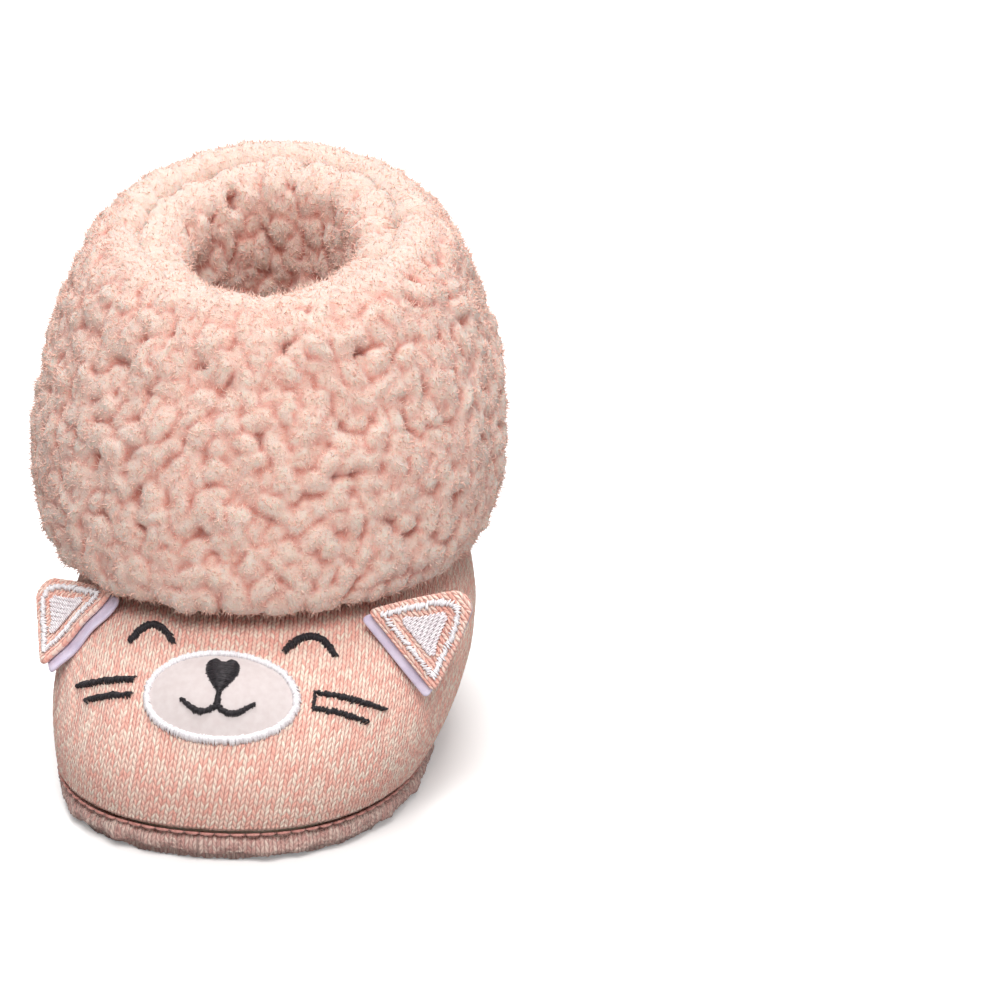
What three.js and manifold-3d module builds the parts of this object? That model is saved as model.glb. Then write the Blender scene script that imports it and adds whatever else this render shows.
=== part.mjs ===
// Baby bootie with a kitten face: a knitted upper on a soft knitted sole, a deep sherpa cuff
// turned down over the ankle, an embroidered face and two sewn-on ears that stand free.
// Millimetres, +Z up, toe towards -Y, origin under the middle of the bootie.

import * as THREE from 'three';
import { mergeVertices } from 'three/addons/utils/BufferGeometryUtils.js';
import Module from 'manifold-3d';

const wasm = await Module();
wasm.setup();

// ---- driving dimensions ------------------------------------------------------------------

const clearance = 0.3; // between pieces that are sewn or glued face to face

// Sole, seen from above: an oval that is wider at the toe and fuller than an ellipse.
const soleHalfLength = 50;
const soleHalfWidth = 28.8; // half-way along
const toeWidening = 0.16; // added to the width at the toe and taken off it at the heel
const outlineFullness = 0.05; // how far the four quarters stand out past an ellipse

const gripThickness = 0.4; // rubbery dots printed under the sole
const gripDiameter = 5.6;
const gripPitch = 13.4; // between the dots of one row
const gripRowPitch = 10.4; // between rows, and every other row is shifted by half a pitch
const gripEdgeDistance = 5; // from the edge of the sole to the rim of the nearest dot
const panelThickness = 1.9; // knitted sole panel
const soleEdgeHeight = 4; // its turned-up edge
const soleEdgeWall = 2.2;
const foamThickness = 2;
const insoleThickness = 2;
const seamGap = 0.7; // between the turned-up edge and the upper
const seamThread = 0.7; // diameter of the overlock seam round the sole

// Upper: two panels, each a knitted outside with a fleece lining.
const knitThickness = 2;
const liningThickness = 2.4;
const sideSeamAngle = 100; // degrees from the toe to the seam between vamp and back panel
const seamOpening = 0.8; // degrees left between the panels at that seam
const footFullness = 5.6; // how far the upper bulges past the sole
const heelFullnessLoss = 1.9; // the heel bulges this much less
const footRise = 15; // height over which it does
const toeRiseLoss = 2; // the toe rises less than the heel
const ankleFullness = 9; // how far the upper stands out just below the top edge
const vampFullness = 6; // added to that over the toe
const ankleDrop = 7; // how steeply it falls from the top edge, none at the toe
const upperLean = 3; // the soft upper slumps to the +X side between sole and top edge

// Ankle opening, to which the cuff is sewn.
const ankleCentreY = 7;
const ankleHalfWidth = 24;
const ankleHalfLength = 30;
const toplineFront = 33; // height of the top edge at the toe side
const toplineBack = 43;
const elasticThickness = 1.2;
const elasticShare = 0.1; // share of the upper's height that the elastic takes

// Sherpa cuff: one wall stands on the ankle seam and the outer fold hangs down over it.
const cuffOverhang = 13.5; // how far its widest ring stands out past the ankle seam
const cuffWidestAbove = 14; // above the ankle seam
const cuffCrestAbove = 47.5; // crest of the fold above the ankle seam
const cuffCrestRadius = 21;
const cuffThroat = 13.6; // radius of the opening at its narrowest
const cuffWall = 8.5; // thickness of the hanging fold
const cuffCrestTilt = 6; // the crest is this much higher at the back and lower at the front
const cuffLayerGap = 1.2;
const hemFront = 2.9; // height of the hanging edge above the ankle seam at the toe side
const hemSide = 0.4;
const hemBack = 0.3;
const baseRollHeight = 1.9; // small curls that show under the fold
const baseRollDepth = 2.2;

// Face, laid out on the vamp: sideways and up the slope from the middle of the muzzle.
const faceShift = -0.2; // how far the face sits towards +X of the middle; below 0, towards -X
const faceBow = 0.01; // its rows fall by this times the square of the distance sideways
const muzzleHeight = 0.52; // place of the muzzle's middle up the vamp, from sole to top edge
const muzzleHalfWidth = 11.3;
const muzzleHalfHeight = 6.9;
const muzzleThickness = 0.7;
const muzzleDome = 0.8;
const borderWidth = 1.3;
const noseWidth = 5.2;
const noseHeight = 5.8;
const noseUp = 2.9; // middle of the nose above the middle of the muzzle
const noseThickness = 0.6;
const stitchWidth = 1; // mouth and eyes
const mouthHalfWidth = 5.6;
const mouthDrop = 1.1; // dip of each half of the smile
const mouthStem = 1.3;
const mouthCurl = 3.9; // radians of a sine wave that each arc of the mouth runs through
const eyeSpread = 12.9;
const eyeUp = 9;
const eyeWidth = 7.4;
const eyeRise = 3.4;
const whiskerWidth = 0.9;
const whiskerStart = 14.6;
const whiskerLengths = [12, 9];
const whiskerHeights = [2.4, -0.2];
const whiskerFall = 0.6;

// Ears: rounded triangles, sewn to the vamp along their lower edge only.
const earAngle = 43; // degrees round from the toe to the middle of the seam
const earBelowHem = 4.55; // height from the upper corner of the seam to the cuff's hanging edge
const earSeamTurn = 58; // degrees by which the seam leans from level
const earWidth = 16.4;
const earLength = 15.5;
const earLifts = { left: 9, right: 43 }; // degrees between each ear and the fabric behind it
const earTipRadius = 2.6;
const earKnitThickness = 1.3;
const earBackingThickness = 0.8;
const earBackingPast = 1.6; // the felt shows past the knit along the seam
const earPatchThickness = 0.4;
const earPatchInset = 4;
const earStitchInset = 2;
const earStitchWidth = 0.8;
const earBaseStitchInset = 2.4;

// ---- materials -----------------------------------------------------------------------------

function finish(color, roughness) {
  return new THREE.MeshStandardMaterial({ color, roughness, metalness: 0 });
}

const colours = {
  knit: '#efc0b1',
  soleKnit: '#d9a699',
  foam: '#f0ece4',
  fleece: '#f3d3c8',
  sherpa: '#f0c6b9',
  elastic: '#f2eeee',
  grip: '#e59a86',
  thread: '#dba294',
  muzzle: '#f4eeec',
  whiteThread: '#fbf8f7',
  blackThread: '#2e292a',
  lilac: '#d6cce0',
  silver: '#e3dcde',
};

// ---- helpers -------------------------------------------------------------------------------

const bootie = new THREE.Group();
const radians = THREE.MathUtils.degToRad;
const up = new THREE.Vector3(0, 0, 1);

function addPiece(name, geometry, color, roughness = 0.9) {
  const mesh = new THREE.Mesh(geometry, finish(color, roughness));
  mesh.name = name;
  bootie.add(mesh);
}

/** Merges the corners of a geometry and moves each of them by place(point), which edits it. */
function bend(geometry, place) {
  geometry.deleteAttribute('normal');
  geometry.deleteAttribute('uv');
  const merged = mergeVertices(geometry);
  const corners = merged.getAttribute('position');
  const point = new THREE.Vector3();
  for (let i = 0; i < corners.count; i++) {
    point.fromBufferAttribute(corners, i);
    place(point);
    corners.setXYZ(i, point.x, point.y, point.z);
  }
  merged.computeVertexNormals();
  return merged;
}

/** A lathed profile whose points (reach, height) at each angle are sent to place(angle, reach, height). */
function turned(profile, steps, place) {
  const points = profile.map(([reach, height]) => new THREE.Vector2(reach, height));
  return bend(new THREE.LatheGeometry(points, steps), (point) => {
    const reach = Math.hypot(point.x, point.z);
    const angle = reach > 0 ? Math.atan2(point.x, point.z) : 0;
    point.copy(place(angle, reach, point.y));
  });
}

/** A closed section [out, along] carried once round, where out may be negative. */
function ring(section, steps, place) {
  const hub = 200; // keeps the section off the lathe's axis
  const shifted = section.map(([out, along]) => [out + hub, along]);
  shifted.push(shifted[0]);
  return turned(shifted, steps, (angle, reach, along) => place(angle, reach - hub, along));
}

/** A tube of the given width along points, with 6 sides and flat ends. */
function thread(points, width, steps) {
  const section = new THREE.Shape();
  const sides = 6;
  for (let i = 0; i < sides; i++) {
    const angle = (2 * Math.PI * i) / sides;
    const spot = [(width / 2) * Math.cos(angle), (width / 2) * Math.sin(angle)];
    if (i === 0) section.moveTo(...spot);
    else section.lineTo(...spot);
  }
  section.closePath();
  const extrudePath = new THREE.CatmullRomCurve3(points);
  return bend(new THREE.ExtrudeGeometry(section, { steps, extrudePath }), () => {});
}

/** Joins two closed geometries into one solid. */
function joined(first, second) {
  const solids = [first, second].map((geometry) => new wasm.Manifold(new wasm.Mesh({
    numProp: 3,
    vertProperties: geometry.getAttribute('position').array,
    triVerts: new Uint32Array(geometry.getIndex().array),
  })));
  const mesh = solids[0].add(solids[1]).getMesh();
  const geometry = new THREE.BufferGeometry();
  geometry.setAttribute('position', new THREE.BufferAttribute(mesh.vertProperties, 3));
  geometry.setIndex(new THREE.BufferAttribute(mesh.triVerts, 1));
  return geometry;
}

// ---- the shape of the foot -----------------------------------------------------------------

const panelUnder = gripThickness + clearance;
const panelTop = panelUnder + panelThickness;
const rimTop = panelUnder + soleEdgeHeight;
const foamUnder = panelTop + clearance;
const foamTop = foamUnder + foamThickness;
const insoleUnder = foamTop + clearance;
const upperFoot = rimTop + seamGap;
const liningDepth = knitThickness + clearance;
const upperDepth = liningDepth + liningThickness;

/** Point of the sole's outline at an angle from the toe, moved in by inset, at a height. */
function solePoint(angle, inset, height) {
  const sine = Math.sin(angle);
  const cosine = Math.cos(angle);
  const fullness = 1 + outlineFullness * (2 * sine * cosine) ** 2;
  const halfWidth = (soleHalfWidth - inset) * (1 + toeWidening * cosine);
  return new THREE.Vector3(
    halfWidth * sine * fullness,
    -(soleHalfLength - inset) * cosine * fullness,
    height,
  );
}

/** Point of the ankle's top edge at an angle from the toe. */
function anklePoint(angle) {
  const middle = (toplineFront + toplineBack) / 2;
  const tilt = (toplineBack - toplineFront) / 2;
  return new THREE.Vector3(
    ankleHalfWidth * Math.sin(angle),
    ankleCentreY - ankleHalfLength * Math.cos(angle),
    middle - tilt * Math.cos(angle),
  );
}

/** Outside of the upper: rise goes from 0 at the sole seam to 1 at the top edge. */
function upperPoint(angle, rise) {
  const toe = Math.max(Math.cos(angle), 0);
  const out = new THREE.Vector3(Math.sin(angle), -Math.cos(angle), 0);
  const foot = solePoint(angle, 0, upperFoot);
  const top = anklePoint(angle);
  const heel = Math.max(-Math.cos(angle), 0);
  const lower = foot.clone().addScaledVector(out, footFullness - heelFullnessLoss * heel);
  lower.addScaledVector(up, footRise - toeRiseLoss * toe);
  const upper = top.clone().addScaledVector(out, ankleFullness + vampFullness * toe);
  upper.addScaledVector(up, -ankleDrop * (1 - toe));
  lower.x += upperLean;
  upper.x += upperLean;
  return new THREE.CubicBezierCurve3(foot, lower, upper, top).getPoint(rise);
}

/** Directions on the upper: round it, up it, and straight out of it. */
function upperFrame(angle, rise) {
  const step = 1e-3;
  const round = upperPoint(angle + step, rise).sub(upperPoint(angle - step, rise)).normalize();
  const climb = upperPoint(angle, rise + step).sub(upperPoint(angle, rise - step)).normalize();
  const out = round.clone().cross(climb).normalize();
  return { round, climb, out };
}

/** Point at a distance inside (or, negative, outside) the upper's outer surface. */
function layerPoint(angle, rise, depth) {
  return upperPoint(angle, rise).addScaledVector(upperFrame(angle, rise).out, -depth);
}

/** A curved panel of the upper between two angles and two depths. */
function upperPanel(from, to, depthOut, depthIn, riseTo, stepsRound) {
  const stepsUp = 6;
  const slab = new THREE.BoxGeometry(1, 1, 1, stepsRound, stepsUp, 1);
  return bend(slab, (point) => {
    const angle = THREE.MathUtils.lerp(from, to, point.x + 0.5);
    const rise = riseTo * (point.y + 0.5);
    const depth = THREE.MathUtils.lerp(depthIn, depthOut, point.z + 0.5);
    point.copy(layerPoint(angle, rise, depth));
  });
}

// ---- sole ----------------------------------------------------------------------------------

const soleSteps = 32;

/** A flat piece with the sole's outline: profile points are [inset from the outline, height]. */
function solePlate(profile) {
  const edgeBand = 10; // insets are true this far in, and close up to the middle beyond
  const place = (angle, reach, height) => {
    const inset = soleHalfWidth - reach;
    if (inset <= edgeBand) return solePoint(angle, inset, height);
    const edge = solePoint(angle, edgeBand, height);
    const share = reach / (soleHalfWidth - edgeBand);
    return new THREE.Vector3(edge.x * share, edge.y * share, height);
  };
  return turned(profile.map(([inset, height]) => [soleHalfWidth - inset, height]), soleSteps, place);
}

function buildSole() {
  const round = 1.3; // rounding of the sole's lower edge
  const trayFloor = soleEdgeWall;
  addPiece('outsole_knit', solePlate([
    [soleHalfWidth, panelUnder],
    [round * 1.6, panelUnder],
    [round * 0.3, panelUnder + round * 0.5],
    [-0.4, panelUnder + round * 1.4],
    [-0.3, rimTop - round * 0.6],
    [0.7, rimTop],
    [trayFloor - 0.3, rimTop],
    [trayFloor, panelTop],
    [soleHalfWidth, panelTop],
  ]), colours.soleKnit);
  const foamInset = soleEdgeWall + clearance + 0.2;
  addPiece('sole_foam', solePlate([
    [soleHalfWidth, foamUnder],
    [foamInset, foamUnder],
    [foamInset, foamTop],
    [soleHalfWidth, foamTop],
  ]), colours.foam);
  const insoleInset = upperDepth + clearance + 0.8;
  addPiece('insole_fleece', solePlate([
    [soleHalfWidth, insoleUnder],
    [insoleInset, insoleUnder],
    [insoleInset, insoleUnder + insoleThickness],
    [soleHalfWidth, insoleUnder + insoleThickness],
  ]), colours.fleece);
  const seamSection = [];
  const seamSides = 5;
  for (let i = 0; i < seamSides; i++) {
    const angle = (2 * Math.PI * i) / seamSides;
    seamSection.push([(seamThread / 2) * Math.cos(angle), (seamThread / 2) * Math.sin(angle)]);
  }
  const seamHeight = rimTop + seamGap / 2 + 0.1;
  const seamOut = seamThread / 2 + clearance / 2;
  addPiece('sole_seam_thread', ring(seamSection, soleSteps,
    (angle, out, along) => solePoint(angle, -seamOut - out, seamHeight + along)), colours.thread);
}

/** Rows of grip dots, staggered, wherever a whole dot fits inside the sole's edge band. */
function buildGrips() {
  const sides = 8;
  const keepIn = gripEdgeDistance + gripDiameter / 2;
  const rows = Math.floor((soleHalfLength - keepIn) / gripRowPitch);
  let count = 0;
  for (let row = -rows; row <= rows; row++) {
    const shift = row % 2 === 0 ? 0 : gripPitch / 2;
    for (let column = -3; column <= 3; column++) {
      const x = column * gripPitch + shift;
      const y = row * gripRowPitch;
      const cosine = -y / (soleHalfLength - keepIn);
      const edge = solePoint(Math.acos(cosine), keepIn, 0);
      if (Math.abs(x) > edge.x) continue;
      count += 1;
      const dot = new THREE.CylinderGeometry(gripDiameter / 2, gripDiameter / 2, gripThickness, sides);
      const geometry = bend(dot, (point) => {
        point.set(x + point.x, y - point.z, point.y + gripThickness / 2);
      });
      addPiece(`grip_dot_${String(count).padStart(2, '0')}`, geometry, colours.grip, 0.6);
    }
  }
}

// ---- upper ---------------------------------------------------------------------------------

function buildUpper() {
  const seam = radians(sideSeamAngle);
  const half = radians(seamOpening / 2);
  const liningTop = 1 - elasticShare;
  const panels = [
    ['vamp', -seam + half, seam - half, 22],
    ['back_panel', seam + half, 2 * Math.PI - seam - half, 14],
  ];
  for (const [name, from, to, steps] of panels) {
    addPiece(`${name}_knit`, upperPanel(from, to, 0, knitThickness, 1, steps), colours.knit);
    const lining = upperPanel(from, to, liningDepth, upperDepth, liningTop, steps);
    addPiece(`${name}_lining`, lining, colours.fleece);
  }
  const elasticFrom = liningTop + 0.02;
  const band = [
    [-liningDepth, elasticFrom],
    [-liningDepth, 1],
    [-liningDepth - elasticThickness, 1],
    [-liningDepth - elasticThickness, elasticFrom],
  ];
  addPiece('ankle_elastic', ring(band, 36,
    (angle, out, along) => layerPoint(angle, along, -out)), colours.elastic);
}

// ---- cuff ----------------------------------------------------------------------------------

/** Point of the cuff: reach from its axis, height above the ankle seam, and the seam's lift. */
function cuffPoint(angle, reach, above, footLift) {
  const middle = (toplineFront + toplineBack) / 2;
  const share = THREE.MathUtils.clamp(above / cuffCrestAbove, 0, 1);
  const stretch = (ankleHalfLength - ankleHalfWidth) * (1 - share) ** 2;
  const lift = THREE.MathUtils.lerp(footLift(angle), -cuffCrestTilt * Math.cos(angle), share);
  return new THREE.Vector3(
    reach * Math.sin(angle),
    ankleCentreY - (reach + stretch) * Math.cos(angle),
    middle + above + lift,
  );
}

/** Lift of the ankle seam from its middle height: down at the toe, up at the back. */
function seamLift(angle) {
  return -((toplineBack - toplineFront) / 2) * Math.cos(angle);
}

/** Lift of the hanging edge: the seam's, plus the edge's own height at front, side and back. */
function hemLift(angle) {
  const cosine = Math.cos(angle);
  const ends = THREE.MathUtils.lerp(hemBack, hemFront, (cosine + 1) / 2);
  return seamLift(angle) + THREE.MathUtils.lerp(hemSide, ends, cosine * cosine);
}

/** Height of the cuff's hanging edge. */
function hemHeight(angle) {
  return (toplineFront + toplineBack) / 2 + hemLift(angle);
}

function buildCuff() {
  const steps = 28;
  const widest = ankleHalfWidth + cuffOverhang;
  const foldInside = widest - cuffWall;
  const wallOutside = foldInside - cuffLayerGap;
  const crest = cuffCrestAbove;
  const low = cuffWidestAbove;
  const baseOutside = ankleHalfWidth + clearance + 0.9;
  const hangingFold = [
    [foldInside + 0.6, 0],
    [widest - 2.6, -0.6],
    [widest - 0.6, 4.5],
    [widest, low],
    [widest - 1, low + 10],
    [widest - 4, low + 21],
    [widest - 9.5, crest - 4],
    [cuffCrestRadius + 2.4, crest],
    [cuffCrestRadius + 0.7, crest - 1.5],
    [cuffCrestRadius + 3, crest - 8],
    [foldInside - 2.4, low + 19],
    [foldInside - 0.4, low + 7],
    [foldInside + 0.2, low - 4],
  ];
  addPiece('cuff_hanging_fold', ring(hangingFold, steps,
    (angle, out, along) => cuffPoint(angle, out, along, hemLift)), colours.sherpa);
  const standingWall = [
    [cuffThroat + 3.4, clearance + 0.3],
    [baseOutside, clearance + 0.3],
    [wallOutside - 1.4, low - 8],
    [wallOutside - 0.6, low],
    [wallOutside - 1.4, low + 9],
    [wallOutside - 3.6, low + 20],
    [cuffCrestRadius + 1, crest - 9.5],
    [cuffCrestRadius - 0.7, crest - 2],
    [cuffThroat + 2.6, crest - 2.4],
    [cuffThroat + 0.3, crest - 8],
    [cuffThroat, low + 16],
    [cuffThroat + 1, low + 3],
  ];
  addPiece('cuff_standing_wall', ring(standingWall, steps,
    (angle, out, along) => cuffPoint(angle, out, along, seamLift)), colours.sherpa);
  const rollInside = baseOutside + clearance + 0.1;
  const roll = [
    [rollInside, clearance],
    [rollInside + baseRollDepth, clearance + baseRollHeight * 0.3],
    [rollInside + baseRollDepth, clearance + baseRollHeight * 0.8],
    [rollInside + 0.3, clearance + baseRollHeight],
  ];
  addPiece('cuff_base_roll', ring(roll, steps,
    (angle, out, along) => cuffPoint(angle, out, along, seamLift)), colours.sherpa);
}

// ---- face ----------------------------------------------------------------------------------

/** Point over the vamp: sideways and up the slope from the muzzle's middle, and off the fabric. */
function facePoint(sideways, climb, off) {
  const step = 1e-3;
  const slope = upperPoint(0, muzzleHeight + step).sub(upperPoint(0, muzzleHeight)).length() / step;
  const rise = muzzleHeight + (climb - faceBow * sideways * sideways) / slope;
  const radius = upperPoint(step, rise).sub(upperPoint(0, rise)).length() / step;
  return layerPoint((sideways + faceShift) / radius, rise, -off);
}

/** Points along a stitched line, given as a function of a share from 0 to 1. */
function stitched(outline, off, count) {
  const points = [];
  for (let i = 0; i <= count; i++) {
    const [sideways, climb] = outline(i / count);
    points.push(facePoint(sideways, climb, off));
  }
  return points;
}

function buildMuzzle() {
  const under = clearance;
  const top = under + muzzleThickness;
  const oval = (angle, share, past, height) => facePoint(
    (share * muzzleHalfWidth + past) * Math.sin(angle),
    -(share * muzzleHalfHeight + past) * Math.cos(angle),
    height,
  );
  addPiece('muzzle_patch', turned([
    [0, under],
    [0.5, under],
    [1, under],
    [1, top],
    [0.6, top + muzzleDome * 0.8],
    [0, top + muzzleDome],
  ], 24, (angle, share, height) => oval(angle, share, 0, height)), colours.muzzle, 0.7);
  addPiece('muzzle_border_thread', ring([
    [clearance, under],
    [clearance + borderWidth, under],
    [clearance + borderWidth, top - 0.3],
    [clearance + 0.1, top],
  ], 24, (angle, past, height) => oval(angle, 1, past, height)), colours.whiteThread, 0.5);
}

/** A heart with its point down, about its own middle. */
function heart(width, height) {
  const half = width / 2;
  const shape = new THREE.Shape();
  shape.moveTo(0, -height / 2);
  shape.bezierCurveTo(-half * 0.5, -height * 0.28, -half, 0, -half, height * 0.2);
  shape.bezierCurveTo(-half, height * 0.56, -half * 0.2, height * 0.6, 0, height * 0.34);
  shape.bezierCurveTo(half * 0.2, height * 0.6, half, height * 0.56, half, height * 0.2);
  shape.bezierCurveTo(half, 0, half * 0.5, -height * 0.28, 0, -height / 2);
  return shape;
}

function buildNoseAndMouth() {
  const onMuzzle = clearance + muzzleThickness + muzzleDome + clearance;
  const nose = new THREE.ExtrudeGeometry(heart(noseWidth, noseHeight), {
    depth: noseThickness, steps: 1, bevelEnabled: false, curveSegments: 4,
  });
  addPiece('nose_thread', bend(nose, (point) => {
    point.copy(facePoint(point.x, noseUp + point.y, onMuzzle + point.z));
  }), colours.blackThread, 0.45);
  const stemTop = noseUp - noseHeight / 2 - clearance - stitchWidth / 2;
  const mouthMiddle = stemTop - mouthStem;
  const off = onMuzzle + stitchWidth / 2;
  const smile = thread(stitched((share) => {
    const along = 2 * share - 1;
    return [along * mouthHalfWidth, mouthMiddle - mouthDrop * Math.sin(Math.abs(along) * mouthCurl)];
  }, off, 12), stitchWidth, 12);
  const stem = thread(stitched((share) => [0, stemTop - share * mouthStem], off, 3), stitchWidth, 3);
  addPiece('mouth_thread', joined(smile, stem), colours.blackThread, 0.45);
}

function buildEyesAndWhiskers() {
  const off = clearance + stitchWidth / 2;
  for (const [side, name] of [[-1, 'left'], [1, 'right']]) {
    const eye = stitched((share) => {
      const along = 2 * share - 1;
      return [side * eyeSpread + (along * eyeWidth) / 2, eyeUp + eyeRise * (1 - along * along)];
    }, off, 8);
    addPiece(`eye_${name}_thread`, thread(eye, stitchWidth, 8), colours.blackThread, 0.45);
    whiskerLengths.forEach((length, index) => {
      const height = whiskerHeights[index];
      const whisker = stitched((share) => [
        side * (whiskerStart + share * length),
        height - share * whiskerFall,
      ], off, 4);
      const place = index === 0 ? 'upper' : 'lower';
      const geometry = thread(whisker, whiskerWidth, 4);
      addPiece(`whisker_${name}_${place}_thread`, geometry, colours.blackThread, 0.45);
    });
  }
}

// ---- ears ----------------------------------------------------------------------------------

/** How far up the upper an ear's seam lies, with its upper corner a set height below the hem. */
function earRise(angle) {
  const target = hemHeight(angle) - earBelowHem;
  const cornerClimb = (earWidth / 2) * Math.sin(radians(earSeamTurn));
  let low = 0;
  let high = 1;
  const halvings = 24;
  for (let i = 0; i < halvings; i++) {
    const rise = (low + high) / 2;
    const corner = upperPoint(angle, rise).z + cornerClimb * upperFrame(angle, rise).climb.z;
    if (corner < target) low = rise;
    else high = rise;
  }
  return low;
}

/** Frame of an ear: origin on the fabric, along the seam, towards the tip, out of its front. */
function earFrame(side, lift) {
  const angle = radians(side * earAngle);
  const rise = earRise(angle);
  const origin = upperPoint(angle, rise);
  const { round, climb, out } = upperFrame(angle, rise);
  const turn = radians(earSeamTurn);
  const along = climb.multiplyScalar(-side * Math.sin(turn));
  along.addScaledVector(round, Math.cos(turn)).normalize();
  const behind = out.clone().cross(along).normalize();
  const tip = behind.multiplyScalar(Math.cos(lift)).addScaledVector(out, Math.sin(lift));
  const front = along.clone().cross(tip).normalize();
  return { origin, along, tip, front };
}

/** Rounded triangle standing on its seam edge, made smaller all round by an inset. */
function earOutline(inset, base) {
  const half = earWidth / 2 - inset * 1.2;
  const top = earLength - inset * 1.3;
  const radius = Math.max(earTipRadius - inset * 0.5, 0.6);
  const foot = 1.2; // rounding of the two lower corners
  const shape = new THREE.Shape();
  shape.moveTo(-half + foot, base);
  shape.lineTo(half - foot, base);
  shape.quadraticCurveTo(half, base, half - foot * 0.3, base + foot);
  shape.quadraticCurveTo(half * 0.62, top * 0.6, radius * 0.8, top - radius * 0.5);
  shape.quadraticCurveTo(0, top + radius * 0.2, -radius * 0.8, top - radius * 0.5);
  shape.quadraticCurveTo(-half * 0.62, top * 0.6, -half + foot * 0.3, base + foot);
  shape.quadraticCurveTo(-half, base, -half + foot, base);
  return shape;
}

function buildEar(side, name) {
  const { origin, along, tip, front } = earFrame(side, radians(earLifts[name]));
  const standOff = clearance + 0.4; // from the fabric to the felt's lower edge
  const stand = (point) => {
    const { x, y, z } = point;
    point.copy(origin).addScaledVector(along, x).addScaledVector(tip, y + standOff).addScaledVector(front, z);
  };
  const slab = (shape, from, thickness) => {
    const geometry = new THREE.ExtrudeGeometry(shape, {
      depth: thickness, steps: 1, bevelEnabled: false, curveSegments: 4,
    });
    geometry.translate(0, 0, from);
    return bend(geometry, stand);
  };
  const knitFrom = earBackingThickness + clearance;
  const knitFront = knitFrom + earKnitThickness;
  addPiece(`ear_${name}_felt`, slab(earOutline(0, 0), 0, earBackingThickness), colours.lilac, 0.8);
  const knit = slab(earOutline(0, earBackingPast), knitFrom, earKnitThickness);
  addPiece(`ear_${name}_knit`, knit, colours.knit);
  const patchBase = earBackingPast + earBaseStitchInset + earStitchWidth;
  const patch = slab(earOutline(earPatchInset, patchBase), knitFront + clearance, earPatchThickness);
  addPiece(`ear_${name}_inner_patch`, patch, colours.silver, 0.5);
  const lineOff = knitFront + clearance + earStitchWidth / 2;
  const half = earWidth / 2 - earStitchInset * 1.3;
  const top = earLength - earStitchInset * 1.5;
  const line = (points) => {
    const spots = points.map(([x, y]) => {
      const spot = new THREE.Vector3(x, y, lineOff);
      stand(spot);
      return spot;
    });
    return thread(spots, earStitchWidth, (points.length - 1) * 2);
  };
  const shoulder = [half * 0.62, top * 0.6];
  const edge = line([
    [-half, earBackingPast + 0.9],
    [-shoulder[0], shoulder[1]],
    [-1.2, top - 0.6],
    [1.2, top - 0.6],
    [shoulder[0], shoulder[1]],
    [half, earBackingPast + 0.9],
  ]);
  addPiece(`ear_${name}_edge_thread`, edge, colours.whiteThread, 0.5);
  const baseHalf = half - earStitchWidth - 1.2;
  const baseHeight = earBackingPast + earBaseStitchInset - 0.4;
  const base = line([[-baseHalf, baseHeight], [0, baseHeight], [baseHalf, baseHeight]]);
  addPiece(`ear_${name}_base_thread`, base, colours.whiteThread, 0.5);
}

buildSole();
buildGrips();
buildUpper();
buildCuff();
buildMuzzle();
buildNoseAndMouth();
buildEyesAndWhiskers();
buildEar(-1, 'left');
buildEar(1, 'right');

export default bootie;
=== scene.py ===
"""A baby's knitted bootie with a kitten's face and a rolled sherpa cuff, dressed round its frame.

Shapes are worked out in millimetres and put into the meshes in metres. An angle runs round the
foot from 0 at the toe, which looks along -Y, through a quarter turn at +X. A rise runs up the
upper from 0 at the sole's seam to 1 at the ankle seam. Flat coordinates on cloth are in
millimetres too, so that a stitch has the same size on every piece.
"""

from __future__ import annotations

import logging
import math
from dataclasses import dataclass, field
from enum import Enum

import bmesh
import bpy
import numpy as np
from mathutils import Matrix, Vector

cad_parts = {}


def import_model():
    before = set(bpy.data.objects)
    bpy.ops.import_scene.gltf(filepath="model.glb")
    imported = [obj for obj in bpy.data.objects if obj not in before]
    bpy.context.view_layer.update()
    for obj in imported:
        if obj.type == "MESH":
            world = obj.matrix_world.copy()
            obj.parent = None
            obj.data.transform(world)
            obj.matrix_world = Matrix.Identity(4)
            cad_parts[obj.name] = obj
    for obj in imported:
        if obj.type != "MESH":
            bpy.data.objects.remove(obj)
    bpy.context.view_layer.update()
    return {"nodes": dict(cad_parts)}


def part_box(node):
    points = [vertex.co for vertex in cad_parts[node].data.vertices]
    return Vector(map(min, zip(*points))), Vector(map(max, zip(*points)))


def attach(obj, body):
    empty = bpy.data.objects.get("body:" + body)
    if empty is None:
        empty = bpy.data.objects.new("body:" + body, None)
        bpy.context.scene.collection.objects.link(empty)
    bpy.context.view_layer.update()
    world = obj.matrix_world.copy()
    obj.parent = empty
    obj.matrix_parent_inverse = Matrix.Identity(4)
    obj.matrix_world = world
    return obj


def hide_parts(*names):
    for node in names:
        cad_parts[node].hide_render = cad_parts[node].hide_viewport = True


LOG = logging.getLogger("bootie")
MM = 0.001
TAU = 2 * math.pi
WALE = 1.35
COURSE = 1.0
Array = np.ndarray
Colour = tuple[float, float, float, float]


# ---- small helpers ---------------------------------------------------------------------------


def unit(vectors: Array) -> Array:
    """The vectors at length 1."""
    return vectors / np.maximum(np.linalg.norm(vectors, axis=-1, keepdims=True), 1e-9)


def tint(red: int, green: int, blue: int) -> Colour:
    """A colour from its 0 to 255 display values, as the linear values that a socket takes.

    Each value c is c / 12.92 when dark, else ((c + 0.055) / 1.055) to the power 2.4.
    """
    shares = np.array([red, green, blue]) / 255
    linear = np.where(shares <= 0.04045, shares / 12.92, ((shares + 0.055) / 1.055) ** 2.4)
    return (float(linear[0]), float(linear[1]), float(linear[2]), 1.0)


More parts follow.
